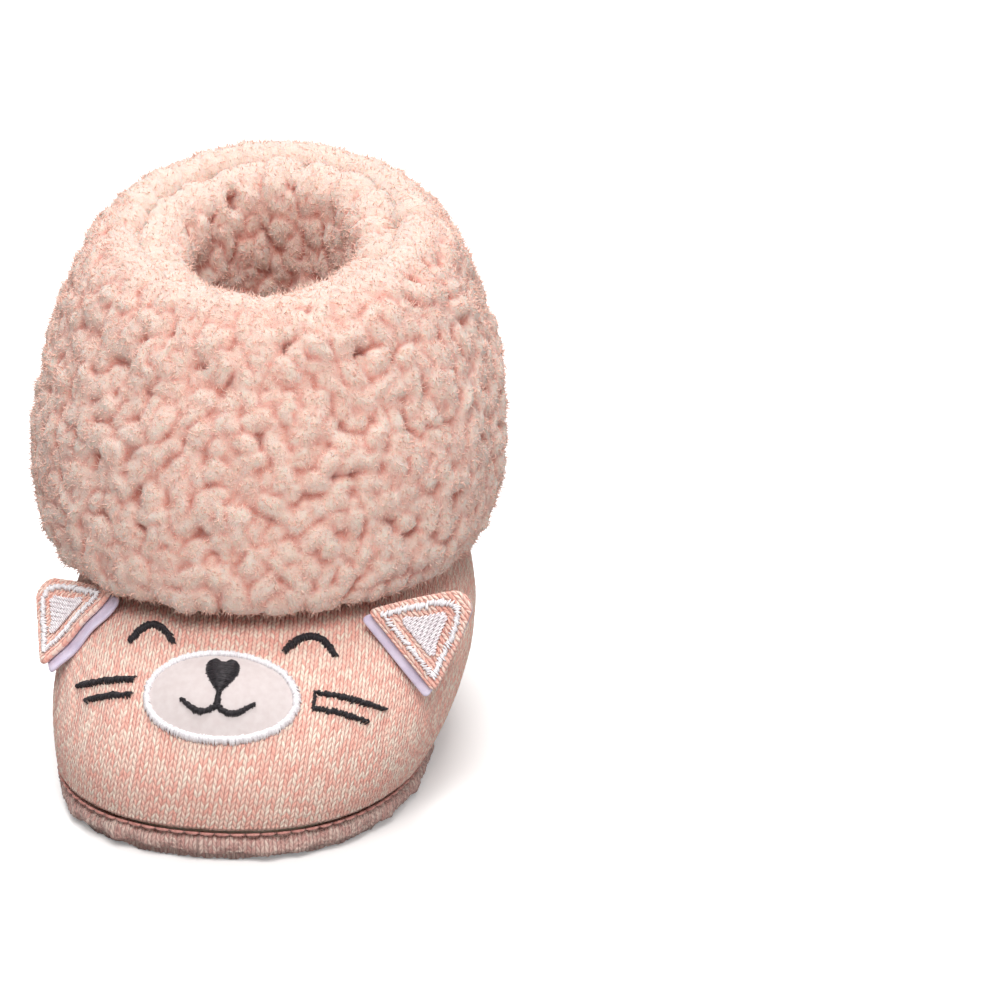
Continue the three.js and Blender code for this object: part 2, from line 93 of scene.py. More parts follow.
def rumple(points: Array, size: float, seed: int) -> Array:
    """Smooth unevenness in space: the mean of plane sine waves of random direction and phase.

    Args:
        points: Points in millimetres, with the last axis x, y, z.
        size: Mean wavelength in millimetres.
        seed: Seed of the directions and phases.

    Returns:
        Values of about -1 to 1, one for each point.
    """
    rng, waves = np.random.default_rng(seed), 24
    ways = unit(rng.normal(size=(waves, 3))) * (TAU / size) * rng.uniform(0.6, 1.5, (waves, 1))
    phases = rng.uniform(0, TAU, waves)
    return np.sin(points @ ways.T + phases).mean(axis=-1) * math.sqrt(waves) / 1.6


def chaikin(corners: Array, rounds: int, closed: bool = True) -> Array:
    """An outline with its corners cut, each edge giving its points at 1/4 and 3/4.

    An open line keeps its two ends.
    """
    line = corners
    for _ in range(rounds):
        here, ahead = (line, np.roll(line, -1, axis=0)) if closed else (line[:-1], line[1:])
        cut = np.stack([0.75 * here + 0.25 * ahead, 0.25 * here + 0.75 * ahead], axis=1)
        line = cut.reshape(-1, corners.shape[-1])
        if not closed:
            line = np.concatenate([corners[:1], line, corners[-1:]])
    return line


def distances(points: Array) -> Array:
    """How far along an open line each of its points lies."""
    return np.r_[0, np.cumsum(np.linalg.norm(np.diff(points, axis=0), axis=1))]


def line_length(points: Array) -> float:
    """Length of an open line."""
    return np.linalg.norm(np.diff(points, axis=0), axis=1).sum()


def spaced(points: Array, count: int, closed: bool = False) -> Array:
    """An outline or line sampled again at equal steps of its own length."""
    line = np.concatenate([points, points[:1]]) if closed else points
    lengths = distances(line)
    marks = np.linspace(0, lengths[-1], count, endpoint=not closed)
    return np.stack([np.interp(marks, lengths, line[:, k]) for k in range(line.shape[1])], -1)


def stitch_height(across: Array, along: Array) -> Array:
    """Height from 0 to 1 of plain knitting.

    Each wale holds two legs side by side, every leg a round-backed lobe that climbs to the
    wale's middle: the lobe's place along the wale is raised by a share of the distance from
    the middle, and its back falls to both sides and to both ends.

    Args:
        across: Place across the wales in millimetres.
        along: Place along them in millimetres.

    Returns:
        The height at each place.
    """
    side = np.abs(np.mod(across / WALE, 1) - 0.5) * 2
    back = np.sqrt(np.clip(1 - (2 * side - 1) ** 2, 0, 1))
    step = np.mod(along / COURSE + 0.9 * side, 1)
    return back * (0.45 + 0.55 * np.sin(math.pi * step) ** 0.7)


# ---- meshes ----------------------------------------------------------------------------------


@dataclass
class Piecework:
    """Points, faces and flat coordinates gathered into one mesh."""

    points: list[Array] = field(default_factory=list)
    flats: list[Array] = field(default_factory=list)
    faces: list[Array] = field(default_factory=list)
    count: int = 0

    def keep(self, points: Array, flat: Array | None) -> int:
        """Adds points and their flat coordinates, and gives the number of the first."""
        first = self.count
        rows = points.reshape(-1, 3)
        self.points.append(rows)
        self.flats.append(np.zeros((len(rows), 2)) if flat is None else flat.reshape(-1, 2))
        self.count += len(rows)
        return first

    def grid(
        self,
        points: Array,
        flat: Array | None = None,
        ring: bool = False,
        loop: bool = False,
        caps: bool = False,
    ) -> Piecework:
        """Adds a grid of quads.

        Args:
            points: Grid of rows and columns of points.
            flat: Flat coordinates of the points.
            ring: Whether the last row joins the first.
            loop: Whether the last column joins the first.
            caps: Whether one face closes the first row and one the last.

        Returns:
            This piecework.
        """
        return self.tubes(points[None], None if flat is None else flat[None], ring, loop, caps)

    def tubes(
        self,
        points: Array,
        flat: Array | None = None,
        ring: bool = False,
        loop: bool = True,
        caps: bool = True,
    ) -> Piecework:
        """Adds many equal grids at once: points are grid, row, column, place."""
        many, rows, columns = points.shape[:3]
        first = self.keep(points, flat)
        numbers = first + np.arange(many * rows * columns).reshape(many, rows, columns)
        if ring:
            numbers = np.concatenate([numbers, numbers[:, :1]], axis=1)
        if loop:
            numbers = np.concatenate([numbers, numbers[:, :, :1]], axis=2)
        quads = np.stack(
            [numbers[:, :-1, :-1], numbers[:, 1:, :-1], numbers[:, 1:, 1:], numbers[:, :-1, 1:]],
            axis=-1,
        )
        self.faces.append(quads.reshape(-1, 4))
        if caps:
            self.faces.append(numbers[:, 0, :columns])
            self.faces.append(numbers[:, -1, :columns][:, ::-1])
        return self

    def build(self, name: str, merge: float = 0.0) -> bpy.types.Object:
        """Makes the object, with its faces outwards.

        Args:
            name: Name of the piece.
            merge: Distance in millimetres within which points become one.

        Returns:
            The new object, at the origin, shaded smooth.
        """
        mesh = bpy.data.meshes.new(name)
        points = np.concatenate(self.points) * MM
        corners = np.concatenate([faces.reshape(-1) for faces in self.faces])
        sizes = np.concatenate([np.full(len(faces), faces.shape[1]) for faces in self.faces])
        mesh.vertices.add(len(points))
        mesh.vertices.foreach_set("co", points.astype(np.float32).reshape(-1))
        mesh.loops.add(len(corners))
        mesh.loops.foreach_set("vertex_index", corners.astype(np.int32))
        mesh.polygons.add(len(sizes))
        starts = np.r_[0, np.cumsum(sizes)[:-1]]
        mesh.polygons.foreach_set("loop_start", starts.astype(np.int32))
        mesh.update(calc_edges=True)
        flat = np.concatenate(self.flats)[corners]
        layer = mesh.uv_layers.new(name="flat")
        layer.data.foreach_set("uv", flat.astype(np.float32).reshape(-1))
        work = bmesh.new()
        work.from_mesh(mesh)
        if merge:
            bmesh.ops.remove_doubles(work, verts=work.verts, dist=merge * MM)
        bmesh.ops.recalc_face_normals(work, faces=work.faces)
        work.to_mesh(mesh)
        work.free()
        mesh.shade_smooth()
        return shown(name, mesh)


def shown(name: str, data: bpy.types.ID) -> bpy.types.Object:
    """An object of that mesh, light or camera in the scene."""
    made = bpy.data.objects.new(name, data)
    bpy.context.scene.collection.objects.link(made)
    return made


def dress(
    piece: bpy.types.Object, finish: bpy.types.Material, body: str, slot: str, *nodes: str
) -> None:
    """Gives a piece its finish and body, hides the nodes that it stands for, and reports it.

    Args:
        piece: The piece.
        finish: Its material.
        body: Body that it rides on.
        slot: Slot of the record that the finish belongs to; not used.
        *nodes: Nodes that it replaces.
    """
    piece.data.materials.clear()
    piece.data.materials.append(finish)
    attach(piece, body)
    if nodes:
        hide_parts(*nodes)
    LOG.info("%s: %d faces on %s", piece.name, len(piece.data.polygons), body)


def read_values(rows: bpy.types.bpy_prop_collection, label: str, width: int) -> Array:
    """A property of a mesh's points, edges or attribute, as rows of that width."""
    values = np.empty(len(rows) * width, np.float32)
    rows.foreach_get(label, values)
    return values.reshape(-1, width).astype(float)


def read_points(mesh: bpy.types.Mesh) -> Array:
    """The mesh's points in millimetres."""
    return read_values(mesh.vertices, "co", 3) / MM


def write_points(mesh: bpy.types.Mesh, points: Array) -> None:
    """Puts points in millimetres back into the mesh."""
    mesh.vertices.foreach_set("co", (points * MM).astype(np.float32).reshape(-1))
    mesh.update()


def read_normals(mesh: bpy.types.Mesh) -> Array:
    """The mesh's normals at its points."""
    return read_values(mesh.vertices, "normal", 3)


def write_values(mesh: bpy.types.Mesh, label: str, values: Array) -> None:
    """Stores one value for each point of the mesh."""
    layer = mesh.attributes.new(label, "FLOAT", "POINT")
    layer.data.foreach_set("value", values.astype(np.float32))


def relaxed(points: Array, edges: Array, rounds: int, share: float = 0.6) -> Array:
    """Points drawn towards the mean of their neighbours, a share of the way each round."""
    count = np.bincount(edges.reshape(-1), minlength=len(points))[:, None]
    for _ in range(rounds):
        total = np.stack(
            [
                np.bincount(edges[:, 0], points[edges[:, 1], k], len(points))
                + np.bincount(edges[:, 1], points[edges[:, 0], k], len(points))
                for k in range(3)
            ],
            axis=-1,
        )
        points = points + share * (total / np.maximum(count, 1) - points)
    return points


def mesh_edges(mesh: bpy.types.Mesh) -> Array:
    """The mesh's edges as pairs of point numbers."""
    values = np.empty(len(mesh.edges) * 2, np.int32)
    mesh.edges.foreach_get("vertices", values)
    return values.reshape(-1, 2)


# ---- finishes --------------------------------------------------------------------------------


class Pen:
    """Writes nodes into a node tree."""

    def __init__(self, tree: bpy.types.NodeTree) -> None:
        """Keeps the tree."""
        self.tree = tree

    def node(self, kind: str, inputs: dict | None = None, **settings: object) -> bpy.types.Node:
        """Adds a node.

        Args:
            kind: Type of the node.
            inputs: Values or output sockets for its inputs, by name or number.
            **settings: Properties of the node.

        Returns:
            The node.
        """
        made = self.tree.nodes.new(kind)
        for name, value in settings.items():
            setattr(made, name, value)
        for name, value in (inputs or {}).items():
            socket = made.inputs[name]
            if isinstance(value, bpy.types.NodeSocket):
                self.tree.links.new(value, socket)
            else:
                socket.default_value = value
        return made

    def group(self, tree: bpy.types.NodeTree, **inputs: object) -> bpy.types.Node:
        """Places a shared group with its own values."""
        return self.node("ShaderNodeGroup", inputs, node_tree=tree)

    def sum(self, operation: str, *values: object) -> bpy.types.NodeSocket:
        """The output of a Math node with those values."""
        made = self.node("ShaderNodeMath", dict(enumerate(values)), operation=operation)
        return made.outputs[0]

    def mix(self, share: object, first: object, second: object, blend: str = "MIX") -> object:
        """The colour that is that share of the way from the first to the second."""
        made = self.node(
            "ShaderNodeMix", {0: share, 6: first, 7: second}, data_type="RGBA", blend_type=blend
        )
        return made.outputs[2]

    def span(self, value: object, low: float, high: float, to: tuple = (0.0, 1.0)) -> object:
        """The value moved from low and high to the two ends of `to`, kept between them."""
        made = self.node(
            "ShaderNodeMapRange",
            {"Value": value, "From Min": low, "From Max": high, "To Min": to[0], "To Max": to[1]},
            clamp=True,
        )
        return made.outputs[0]

    def noise(
        self, vector: object, scale: float, detail: float = 2.0, rough: float = 0.5
    ) -> bpy.types.NodeSocket:
        """The value of a Noise node."""
        made = self.node(
            "ShaderNodeTexNoise",
            {"Vector": vector, "Scale": scale, "Detail": detail, "Roughness": rough},
        )
        return made.outputs[0]

    def bump(
        self, height: object, strength: float, distance: float, after: object = None
    ) -> bpy.types.NodeSocket:
        """The normal of a Bump node; distance is in millimetres."""
        inputs = {"Height": height, "Strength": strength, "Distance": distance * MM}
        if after is not None:
            inputs["Normal"] = after
        return self.node("ShaderNodeBump", inputs).outputs[0]


def new_group(name: str, inputs: dict[str, str], outputs: dict[str, str]) -> tuple:
    """An empty node group with its sockets.

    Args:
        name: Name of the group.
        inputs: Kind of each input, by name.
        outputs: Kind of each output, by name.

    Returns:
        A pen for the group, its input node and its output node.
    """
    tree = bpy.data.node_groups.new(name, "ShaderNodeTree")
    for label, kind in inputs.items():
        tree.interface.new_socket(label, in_out="INPUT", socket_type="NodeSocket" + kind)
    for label, kind in outputs.items():
        tree.interface.new_socket(label, in_out="OUTPUT", socket_type="NodeSocket" + kind)
    pen = Pen(tree)
    return pen, pen.node("NodeGroupInput"), pen.node("NodeGroupOutput")


class Effects:
    """The node groups that the finishes share."""

    def __init__(self) -> None:
        """Builds each group once."""
        self.stitch = self.knitting()
        self.fuzz = self.fibres()
        self.twist = self.thread()

    @staticmethod
    def knitting() -> bpy.types.NodeTree:
        """Plain knitting on flat coordinates, in the same words as stitch_height.

        Returns:
            A group that puts out the height, one random value for each leg, and a value that
            runs in streaks along the legs.
        """
        pen, given, made = new_group(
            "plain_knitting",
            {"Flat": "Vector", "Wale": "Float", "Course": "Float"},
            {"Height": "Float", "Leg": "Float", "Streak": "Float"},
        )
        parts = pen.node("ShaderNodeSeparateXYZ", {0: given.outputs["Flat"]})
        wale = pen.sum("DIVIDE", parts.outputs[0], given.outputs["Wale"])
        course = pen.sum("DIVIDE", parts.outputs[1], given.outputs["Course"])
        side = pen.sum("SUBTRACT", pen.sum("FLOORED_MODULO", wale, 1.0), 0.5)
        away = pen.sum("MULTIPLY", pen.sum("ABSOLUTE", side), 2.0)
        step = pen.sum("MULTIPLY_ADD", away, 0.9, course)
        lean = pen.sum("SUBTRACT", pen.sum("MULTIPLY", away, 2.0), 1.0)
        back = pen.sum("SQRT", pen.sum("SUBTRACT", 1.0, pen.sum("MULTIPLY", lean, lean)))
        share = pen.sum("FLOORED_MODULO", step, 1.0)
        lobe = pen.sum("POWER", pen.sum("SINE", pen.sum("MULTIPLY", share, math.pi)), 0.7)
        height = pen.sum("MULTIPLY", back, pen.sum("MULTIPLY_ADD", lobe, 0.55, 0.45))
        leg = pen.node(
            "ShaderNodeCombineXYZ",
            {
                0: pen.sum("MULTIPLY_ADD", pen.sum("SIGN", side), 0.25, pen.sum("FLOOR", wale)),
                1: pen.sum("FLOOR", step),
            },
        )
        chance = pen.node("ShaderNodeTexWhiteNoise", {"Vector": leg.outputs[0]})
        run = pen.node(
            "ShaderNodeCombineXYZ",
            {0: pen.sum("MULTIPLY", wale, 5.5), 1: pen.sum("MULTIPLY", step, 1.1)},
        )
        streak = pen.noise(run.outputs[0], 1.0, 2.0, 0.6)
        for name, value in (("Height", height), ("Leg", chance.outputs[0]), ("Streak", streak)):
            pen.tree.links.new(value, made.inputs[name])
        return pen.tree

    @staticmethod
    def fibres() -> bpy.types.NodeTree:
        """Soft short fibres: noise that is bent by a coarser noise and drawn out one way.

        Returns:
            A group that puts out a height and a slower tone.
        """
        pen, given, made = new_group(
            "soft_fibres",
            {"Place": "Vector", "Size": "Float"},
            {"Height": "Float", "Tone": "Float"},
        )
        scaled = pen.node(
            "ShaderNodeVectorMath",
            {0: given.outputs["Place"], 1: given.outputs["Size"]},
            operation="DIVIDE",
        )
        bent = pen.node("ShaderNodeTexNoise", {"Vector": scaled.outputs[0], "Scale": 0.35})
        moved = pen.node(
            "ShaderNodeVectorMath",
            {0: bent.outputs[1], 1: (5.0, 5.0, 5.0), 2: scaled.outputs[0]},
            operation="MULTIPLY_ADD",
        )
        drawn = pen.node(
            "ShaderNodeMapping", {"Vector": moved.outputs[0], "Scale": (1.0, 2.2, 0.5)}
        )
        fine = pen.noise(drawn.outputs[0], 1.3, 3.0, 0.65)
        slow = pen.noise(scaled.outputs[0], 0.12, 2.0, 0.5)
        pen.tree.links.new(fine, made.inputs["Height"])
        pen.tree.links.new(slow, made.inputs["Tone"])
        return pen.tree

    @staticmethod
    def thread() -> bpy.types.NodeTree:
        """Twisted plies along a thread: a saw of the flat coordinates laid at a slant.

        Returns:
            A group that puts out the plies' height and a tone along the thread.
        """
        pen, given, made = new_group(
            "thread_twist",
            {"Flat": "Vector", "Lay": "Float"},
            {"Height": "Float", "Tone": "Float"},
        )
        parts = pen.node("ShaderNodeSeparateXYZ", {0: given.outputs["Flat"]})
        turn = pen.sum("DIVIDE", parts.outputs[0], given.outputs["Lay"])
        slant = pen.sum("ADD", turn, pen.sum("MULTIPLY", parts.outputs[1], 2.0))
        ply = pen.sum("ABSOLUTE", pen.sum("SINE", pen.sum("MULTIPLY", slant, math.pi)))
        tone = pen.noise(given.outputs["Flat"], 1.7, 2.0)
        pen.tree.links.new(ply, made.inputs["Height"])
        pen.tree.links.new(tone, made.inputs["Tone"])
        return pen.tree


@dataclass(frozen=True)
class Look:
    """What every cloth's shader has in common.

    Attributes:
        name: Name of the material.
        rough: Roughness.
        sheen: Weight of the soft light on its fibres.
        bleed: Weight of the light that spreads under the surface.
        spread: How far that light spreads, in millimetres.
    """

    name: str
    rough: float = 0.9
    sheen: float = 0.25
    bleed: float = 0.0
    spread: float = 3.0

    def start(self) -> tuple[bpy.types.Material, Pen, bpy.types.Node]:
        """Makes the material with its shader, its constants set, and a pen for it."""
        material = bpy.data.materials.new(self.name)
        material.use_nodes = True
        pen = Pen(material.node_tree)
        shader = material.node_tree.nodes["Principled BSDF"]
        shader.inputs["Roughness"].default_value = self.rough
        shader.inputs["Sheen Weight"].default_value = self.sheen
        shader.inputs["Sheen Roughness"].default_value = 0.45
        shader.inputs["Specular IOR Level"].default_value = 0.25
        if self.bleed:
            shader.inputs["Subsurface Weight"].default_value = self.bleed
            shader.inputs["Subsurface Radius"].default_value = (1.0, 0.5, 0.4)
            shader.inputs["Subsurface Scale"].default_value = self.spread * MM
        return material, pen, shader

    @staticmethod
    def end(pen: Pen, shader: bpy.types.Node, colour: object, normal: object) -> None:
        """Joins the colour and the normal to the shader."""
        pen.tree.links.new(colour, shader.inputs["Base Color"])
        pen.tree.links.new(normal, shader.inputs["Normal"])


@dataclass(frozen=True)
class MarledKnit(Look):
    """Plain knitting in a yarn of two plies, one pale and one rose."""

    pale: Colour = tint(255, 236, 217)
    rose: Colour = tint(250, 178, 160)
    # deep: red of the yarn's flecks, also used as the painted shade between the legs
    deep: Colour = tint(196, 92, 84)
    wale: float = WALE
    course: float = COURSE

    def make(self, effects: Effects) -> bpy.types.Material:
        """Builds the material: ply colours by leg and streak, painted shade between the legs,
        fuzz.
        """
        material, pen, shader = self.start()
        flat = pen.node("ShaderNodeUVMap", uv_map="flat").outputs[0]
        knit = pen.group(effects.stitch, Flat=flat, Wale=self.wale, Course=self.course)
        fuzz = pen.group(effects.fuzz, Place=flat, Size=0.16)
        leg = pen.sum("MULTIPLY", knit.outputs["Leg"], 0.55)
        blend = pen.sum("ADD", leg, knit.outputs["Streak"])
        ply = pen.span(blend, 0.5, 1.0)
        body = pen.mix(ply, self.pale, self.rose)
        # painted shade: the knitting turns deep red where its height is low, between the legs
        low = pen.span(knit.outputs["Height"], 0.1, 0.7, (0.85, 0.0))
        body = pen.mix(low, body, self.deep)
        speck = pen.span(pen.noise(flat, 1.9, 1.0), 0.66, 0.74, (0.0, 0.5))
        body = pen.mix(speck, body, self.deep)
        lift = pen.span(fuzz.outputs["Height"], 0.35, 0.7, (0.0, 0.22))
        body = pen.mix(lift, body, (1.0, 0.95, 0.9, 1.0))
        large = pen.bump(knit.outputs["Height"], 0.75, 0.35)
        fine = pen.bump(fuzz.outputs["Height"], 0.55, 0.12, large)
        self.end(pen, shader, body, fine)
        return material


@dataclass(frozen=True)
class Sherpa(Look):
    """Curled pile: painted highlight on the curls, painted shade in the creases between them."""

    # high is a painted highlight on the crowns; deep is painted shade in the creases and hollows
    high: Colour = tint(255, 225, 211)
    middle: Colour = tint(254, 207, 191)
    deep: Colour = tint(216, 128, 108)
    place: str = "crevice"

    def make(self, effects: Effects) -> bpy.types.Material:
        """Builds the material from the height stored on the mesh and two sizes of fibre."""
        material, pen, shader = self.start()
        where = pen.node("ShaderNodeTexCoord").outputs["Object"]
        fuzz = pen.group(effects.fuzz, Place=where, Size=0.3 * MM)
        flock = pen.group(effects.fuzz, Place=where, Size=1.0 * MM)
        depth = pen.node("ShaderNodeAttribute", attribute_name=self.place).outputs["Fac"]
        # painted highlight: paler towards the crowns of the lumps
        crown = pen.span(depth, 0.45, 0.8)
        body = pen.mix(crown, self.middle, self.high)
        # painted shade: deep salmon in the creases between the lumps
        crease_shade = pen.span(depth, 0.08, 0.5, (0.9, 0.0))
        body = pen.mix(crease_shade, body, self.deep)
        body = pen.mix(pen.span(fuzz.outputs["Tone"], 0.35, 0.7, (0.0, 0.25)), body, self.middle)
        pale = pen.span(fuzz.outputs["Height"], 0.42, 0.72, (0.0, 0.3))
        body = pen.mix(pale, body, (1.0, 0.9, 0.84, 1.0))
        # painted shade: darker in the hollows of the coarse fibre pattern
        hollow_shade = pen.span(flock.outputs["Height"], 0.25, 0.5, (0.25, 0.0))
        body = pen.mix(hollow_shade, body, self.deep)
        coarse = pen.bump(flock.outputs["Height"], 0.6, 0.7)
        normal = pen.bump(fuzz.outputs["Height"], 0.9, 0.35, coarse)
        self.end(pen, shader, body, normal)
        return material


@dataclass(frozen=True)
class Plain(Look):
    """Felt, smooth cloth or foam of one colour with a fine grain."""

    colour: Colour = tint(240, 232, 230)
    shade: Colour = tint(220, 208, 206)
    grain: float = 0.2
    depth: float = 0.1

    def make(self, effects: Effects) -> bpy.types.Material:
        """Builds the material: a slow tone between two colours and a grain of fibres."""
        material, pen, shader = self.start()
        where = pen.node("ShaderNodeTexCoord").outputs["Object"]
        fuzz = pen.group(effects.fuzz, Place=where, Size=self.grain * MM)
        tone = pen.sum("MULTIPLY_ADD", fuzz.outputs["Height"], 0.5, fuzz.outputs["Tone"])
        body = pen.mix(pen.span(tone, 0.55, 0.95), self.colour, self.shade)
        self.end(pen, shader, body, pen.bump(fuzz.outputs["Height"], 0.5, self.depth))
        return material


@dataclass(frozen=True)
class Thread(Look):
    """Lustrous embroidery thread with its twist."""

    colour: Colour = tint(252, 250, 252)
    shade: Colour = tint(222, 217, 222)
    lay: float = 0.5

    def make(self, effects: Effects) -> bpy.types.Material:
        """Builds the material: plies along the thread and a change of tone."""
        material, pen, shader = self.start()
        flat = pen.node("ShaderNodeUVMap", uv_map="flat").outputs[0]
        twist = pen.group(effects.twist, Flat=flat, Lay=self.lay)
        body = pen.mix(pen.span(twist.outputs["Tone"], 0.35, 0.7), self.colour, self.shade)
        # painted shade: darker in the hollows between the plies
        hollow_shade = pen.span(twist.outputs["Height"], 0.0, 0.5, (0.35, 0.0))
        body = pen.mix(hollow_shade, body, self.shade)
        self.end(pen, shader, body, pen.bump(twist.outputs["Height"], 0.4, 0.05))
        return material


class Wardrobe:
    """Every finish of the bootie, made once."""

    def __init__(self) -> None:
        """Builds the materials."""
        effects = Effects()
        self.knit = MarledKnit("marled_knit").make(effects)
        self.sole_knit = MarledKnit(
            "sole_knit",
            pale=tint(232, 204, 190),
            rose=tint(206, 150, 140),
            deep=tint(160, 86, 80),
        ).make(effects)
        self.ear_knit = MarledKnit("ear_knit", pale=tint(255, 229, 214), course=1.05).make(effects)
        self.sherpa = Sherpa("sherpa", sheen=0.35, bleed=0.6).make(effects)
        self.fluff = Plain(
            "loose_fibre", colour=tint(255, 218, 203), shade=tint(252, 202, 184), grain=0.5
        ).make(effects)
        self.fleece = Plain(
            "fleece_lining", colour=tint(244, 206, 194), shade=tint(226, 172, 160), grain=0.5
        ).make(effects)
        self.foam = Plain(
            "foam", sheen=0.0, colour=tint(240, 232, 214), shade=tint(214, 204, 182), grain=0.4
        ).make(effects)
        self.elastic = Plain(
            "elastic", rough=0.6, colour=tint(244, 240, 238), shade=tint(222, 214, 212)
        ).make(effects)
        self.grip = Plain(
            "grip_rubber",
            rough=0.5,
            sheen=0.0,
            colour=tint(238, 150, 122),
            shade=tint(226, 132, 108),
            grain=0.5,
            depth=0.03,
        ).make(effects)
        self.muzzle = Plain(
            "muzzle_fabric",
            rough=0.75,
            sheen=0.2,
            colour=tint(212, 202, 201),
            shade=tint(205, 193, 192),
            grain=0.14,
            depth=0.04,
        ).make(effects)
        self.felt = Plain(
            "lilac_felt", colour=tint(222, 214, 233), shade=tint(204, 194, 218), grain=0.25
        ).make(effects)
        self.white = Thread("white_thread", rough=0.45).make(effects)
        self.silver = Thread(
            "silver_thread", rough=0.38, colour=tint(250, 246, 248), shade=tint(222, 210, 216)
        ).make(effects)
        self.black = Thread(
            "black_thread", rough=0.42, sheen=0.1, colour=tint(26, 23, 26), shade=tint(58, 53, 58)
        ).make(effects)
        self.seam = Thread(
            "seam_thread", rough=0.7, colour=tint(214, 158, 148), shade=tint(176, 116, 108)
        ).make(effects)


# ---- the foot's shape ------------------------------------------------------------------------


@dataclass(frozen=True)
class Foot:
    """The bootie's own surface, which every piece of the upper follows."""

    half_length: float = 50.0
    half_width: float = 28.8
    toe_widening: float = 0.16
    fullness: float = 0.05
    foot_level: float = 5.4
    lean: float = 3.0
    ankle_middle: float = 38.0
    ankle_tilt: float = 5.0
    ankle_centre: float = 7.0
    ankle_half_width: float = 24.0
    ankle_half_length: float = 30.0

    def sole_point(self, angle: Array, inset: Array, height: Array) -> Array:
        """Point of the sole's outline: an ellipse, wider at the toe and fuller in its corners."""
        angle, inset, height = np.broadcast_arrays(angle, inset, height)
        s, c = np.sin(angle), np.cos(angle)
        full = 1 + self.fullness * (2 * s * c) ** 2
        wide = (self.half_width - inset) * (1 + self.toe_widening * c)
        return np.stack([wide * s * full, -(self.half_length - inset) * c * full, height], -1)

    def upper_point(self, angle: Array, rise: Array) -> Array:
        """Point of the upper: a cubic curve from the sole, out over the foot, to the ankle."""
        angle, rise = np.broadcast_arrays(angle, rise)
        s, c = np.sin(angle), np.cos(angle)
        toe, heel = np.maximum(c, 0), np.maximum(-c, 0)
        out = np.stack([s, -c, 0 * s], -1)
        up = np.array([0.0, 0.0, 1.0])
        side = np.array([self.lean, 0.0, 0.0])
        foot = self.sole_point(angle, 0.0, self.foot_level)
        top = np.stack(
            [
                self.ankle_half_width * s,
                self.ankle_centre - self.ankle_half_length * c,
                self.ankle_middle - self.ankle_tilt * c,
            ],
            -1,
        )
        lower = foot + out * (5.6 - 1.9 * heel)[..., None] + up * (15 - 2 * toe)[..., None] + side
        upper = top + out * (9 + 6 * toe)[..., None] - up * (7 * (1 - toe))[..., None] + side
        r = rise[..., None]
        q = 1 - r
        return q**3 * foot + 3 * q * q * r * lower + 3 * q * r * r * upper + r**3 * top

    def slopes(self, angle: Array, rise: Array) -> tuple[Array, Array]:
        """How the surface moves for a step round the foot and for a step up it."""
        step = 1e-3
        round_ = (self.upper_point(angle + step, rise) - self.upper_point(angle - step, rise)) / (
            2 * step
        )
        low, high = np.clip(rise - step, 0, 1), np.clip(rise + step, 0, 1)
        climb = self.upper_point(angle, high) - self.upper_point(angle, low)
        return round_, climb / (high - low)[..., None]

    def normal(self, angle: Array, rise: Array) -> Array:
        """Unit vector out of the fabric."""
        angle, rise = np.broadcast_arrays(np.asarray(angle, float), np.asarray(rise, float))
        round_, climb = self.slopes(angle, rise)
        return unit(np.cross(round_, climb))

    def layer(self, angle: Array, rise: Array, depth: Array) -> Array:
        """Point that lies a depth under the fabric's face."""
        normal = self.normal(angle, rise)
        point = self.upper_point(angle, rise)
        return point - normal * np.broadcast_to(depth, point.shape[:-1])[..., None]


# ---- threads ---------------------------------------------------------------------------------


def satin(
    left: Array,
    right: Array,
    normal: Array,
    radius: float,
    arch: float | Array,
    sections: int = 7,
    sides: int = 6,
    tuck: float = 0.25,
) -> tuple[Array, Array]:
    """Threads laid side by side, each one a tube from its left end to its right end.

    A thread's line is the straight one between its ends, raised along the normal by the arch
    times 1 - t squared, with t from -1 to 1, and drawn down by the tuck near both ends. Its
    section is an oval that narrows at the ends.

    Args:
        left: First ends.
        right: Last ends.
        normal: Vector out of the fabric at each thread.
        radius: Radius of the thread.
        arch: Height of the thread's middle over the line between its ends.
        sections: Points along a thread.
        sides: Points round it.
        tuck: How far the ends go down into the fabric.

    Returns:
        Points by thread, section and side, and their flat coordinates.
    """
    t = np.linspace(-1, 1, sections)
    share = (t[None, :, None] + 1) / 2
    line = left[:, None] * (1 - share) + right[:, None] * share
    arch = np.broadcast_to(arch, len(left))[:, None]
    height = arch * (1 - t[None] ** 2) - tuck * np.abs(t[None]) ** 5
    line = line + normal[:, None] * height[..., None]
    way = unit(np.gradient(line, axis=1))
    across = unit(np.cross(normal[:, None], way))
    up = np.cross(way, across)
    turn = np.linspace(0, TAU, sides, endpoint=False)
    thick = radius * (1 - 0.45 * np.abs(t) ** 3)[None, :, None, None]
    around = across[:, :, None] * np.cos(turn)[:, None] + up[:, :, None] * np.sin(turn)[:, None]
    points = line[:, :, None] + around * thick
    length = np.linalg.norm(right - left, axis=-1)[:, None, None]
    along = np.broadcast_to(share[..., 0][..., None] * length, points.shape[:3])
    number = np.arange(len(left))[:, None, None] * 3.7
    round_ = np.broadcast_to(turn / TAU, points.shape[:3])
    return points, np.stack([along + number, round_], -1)


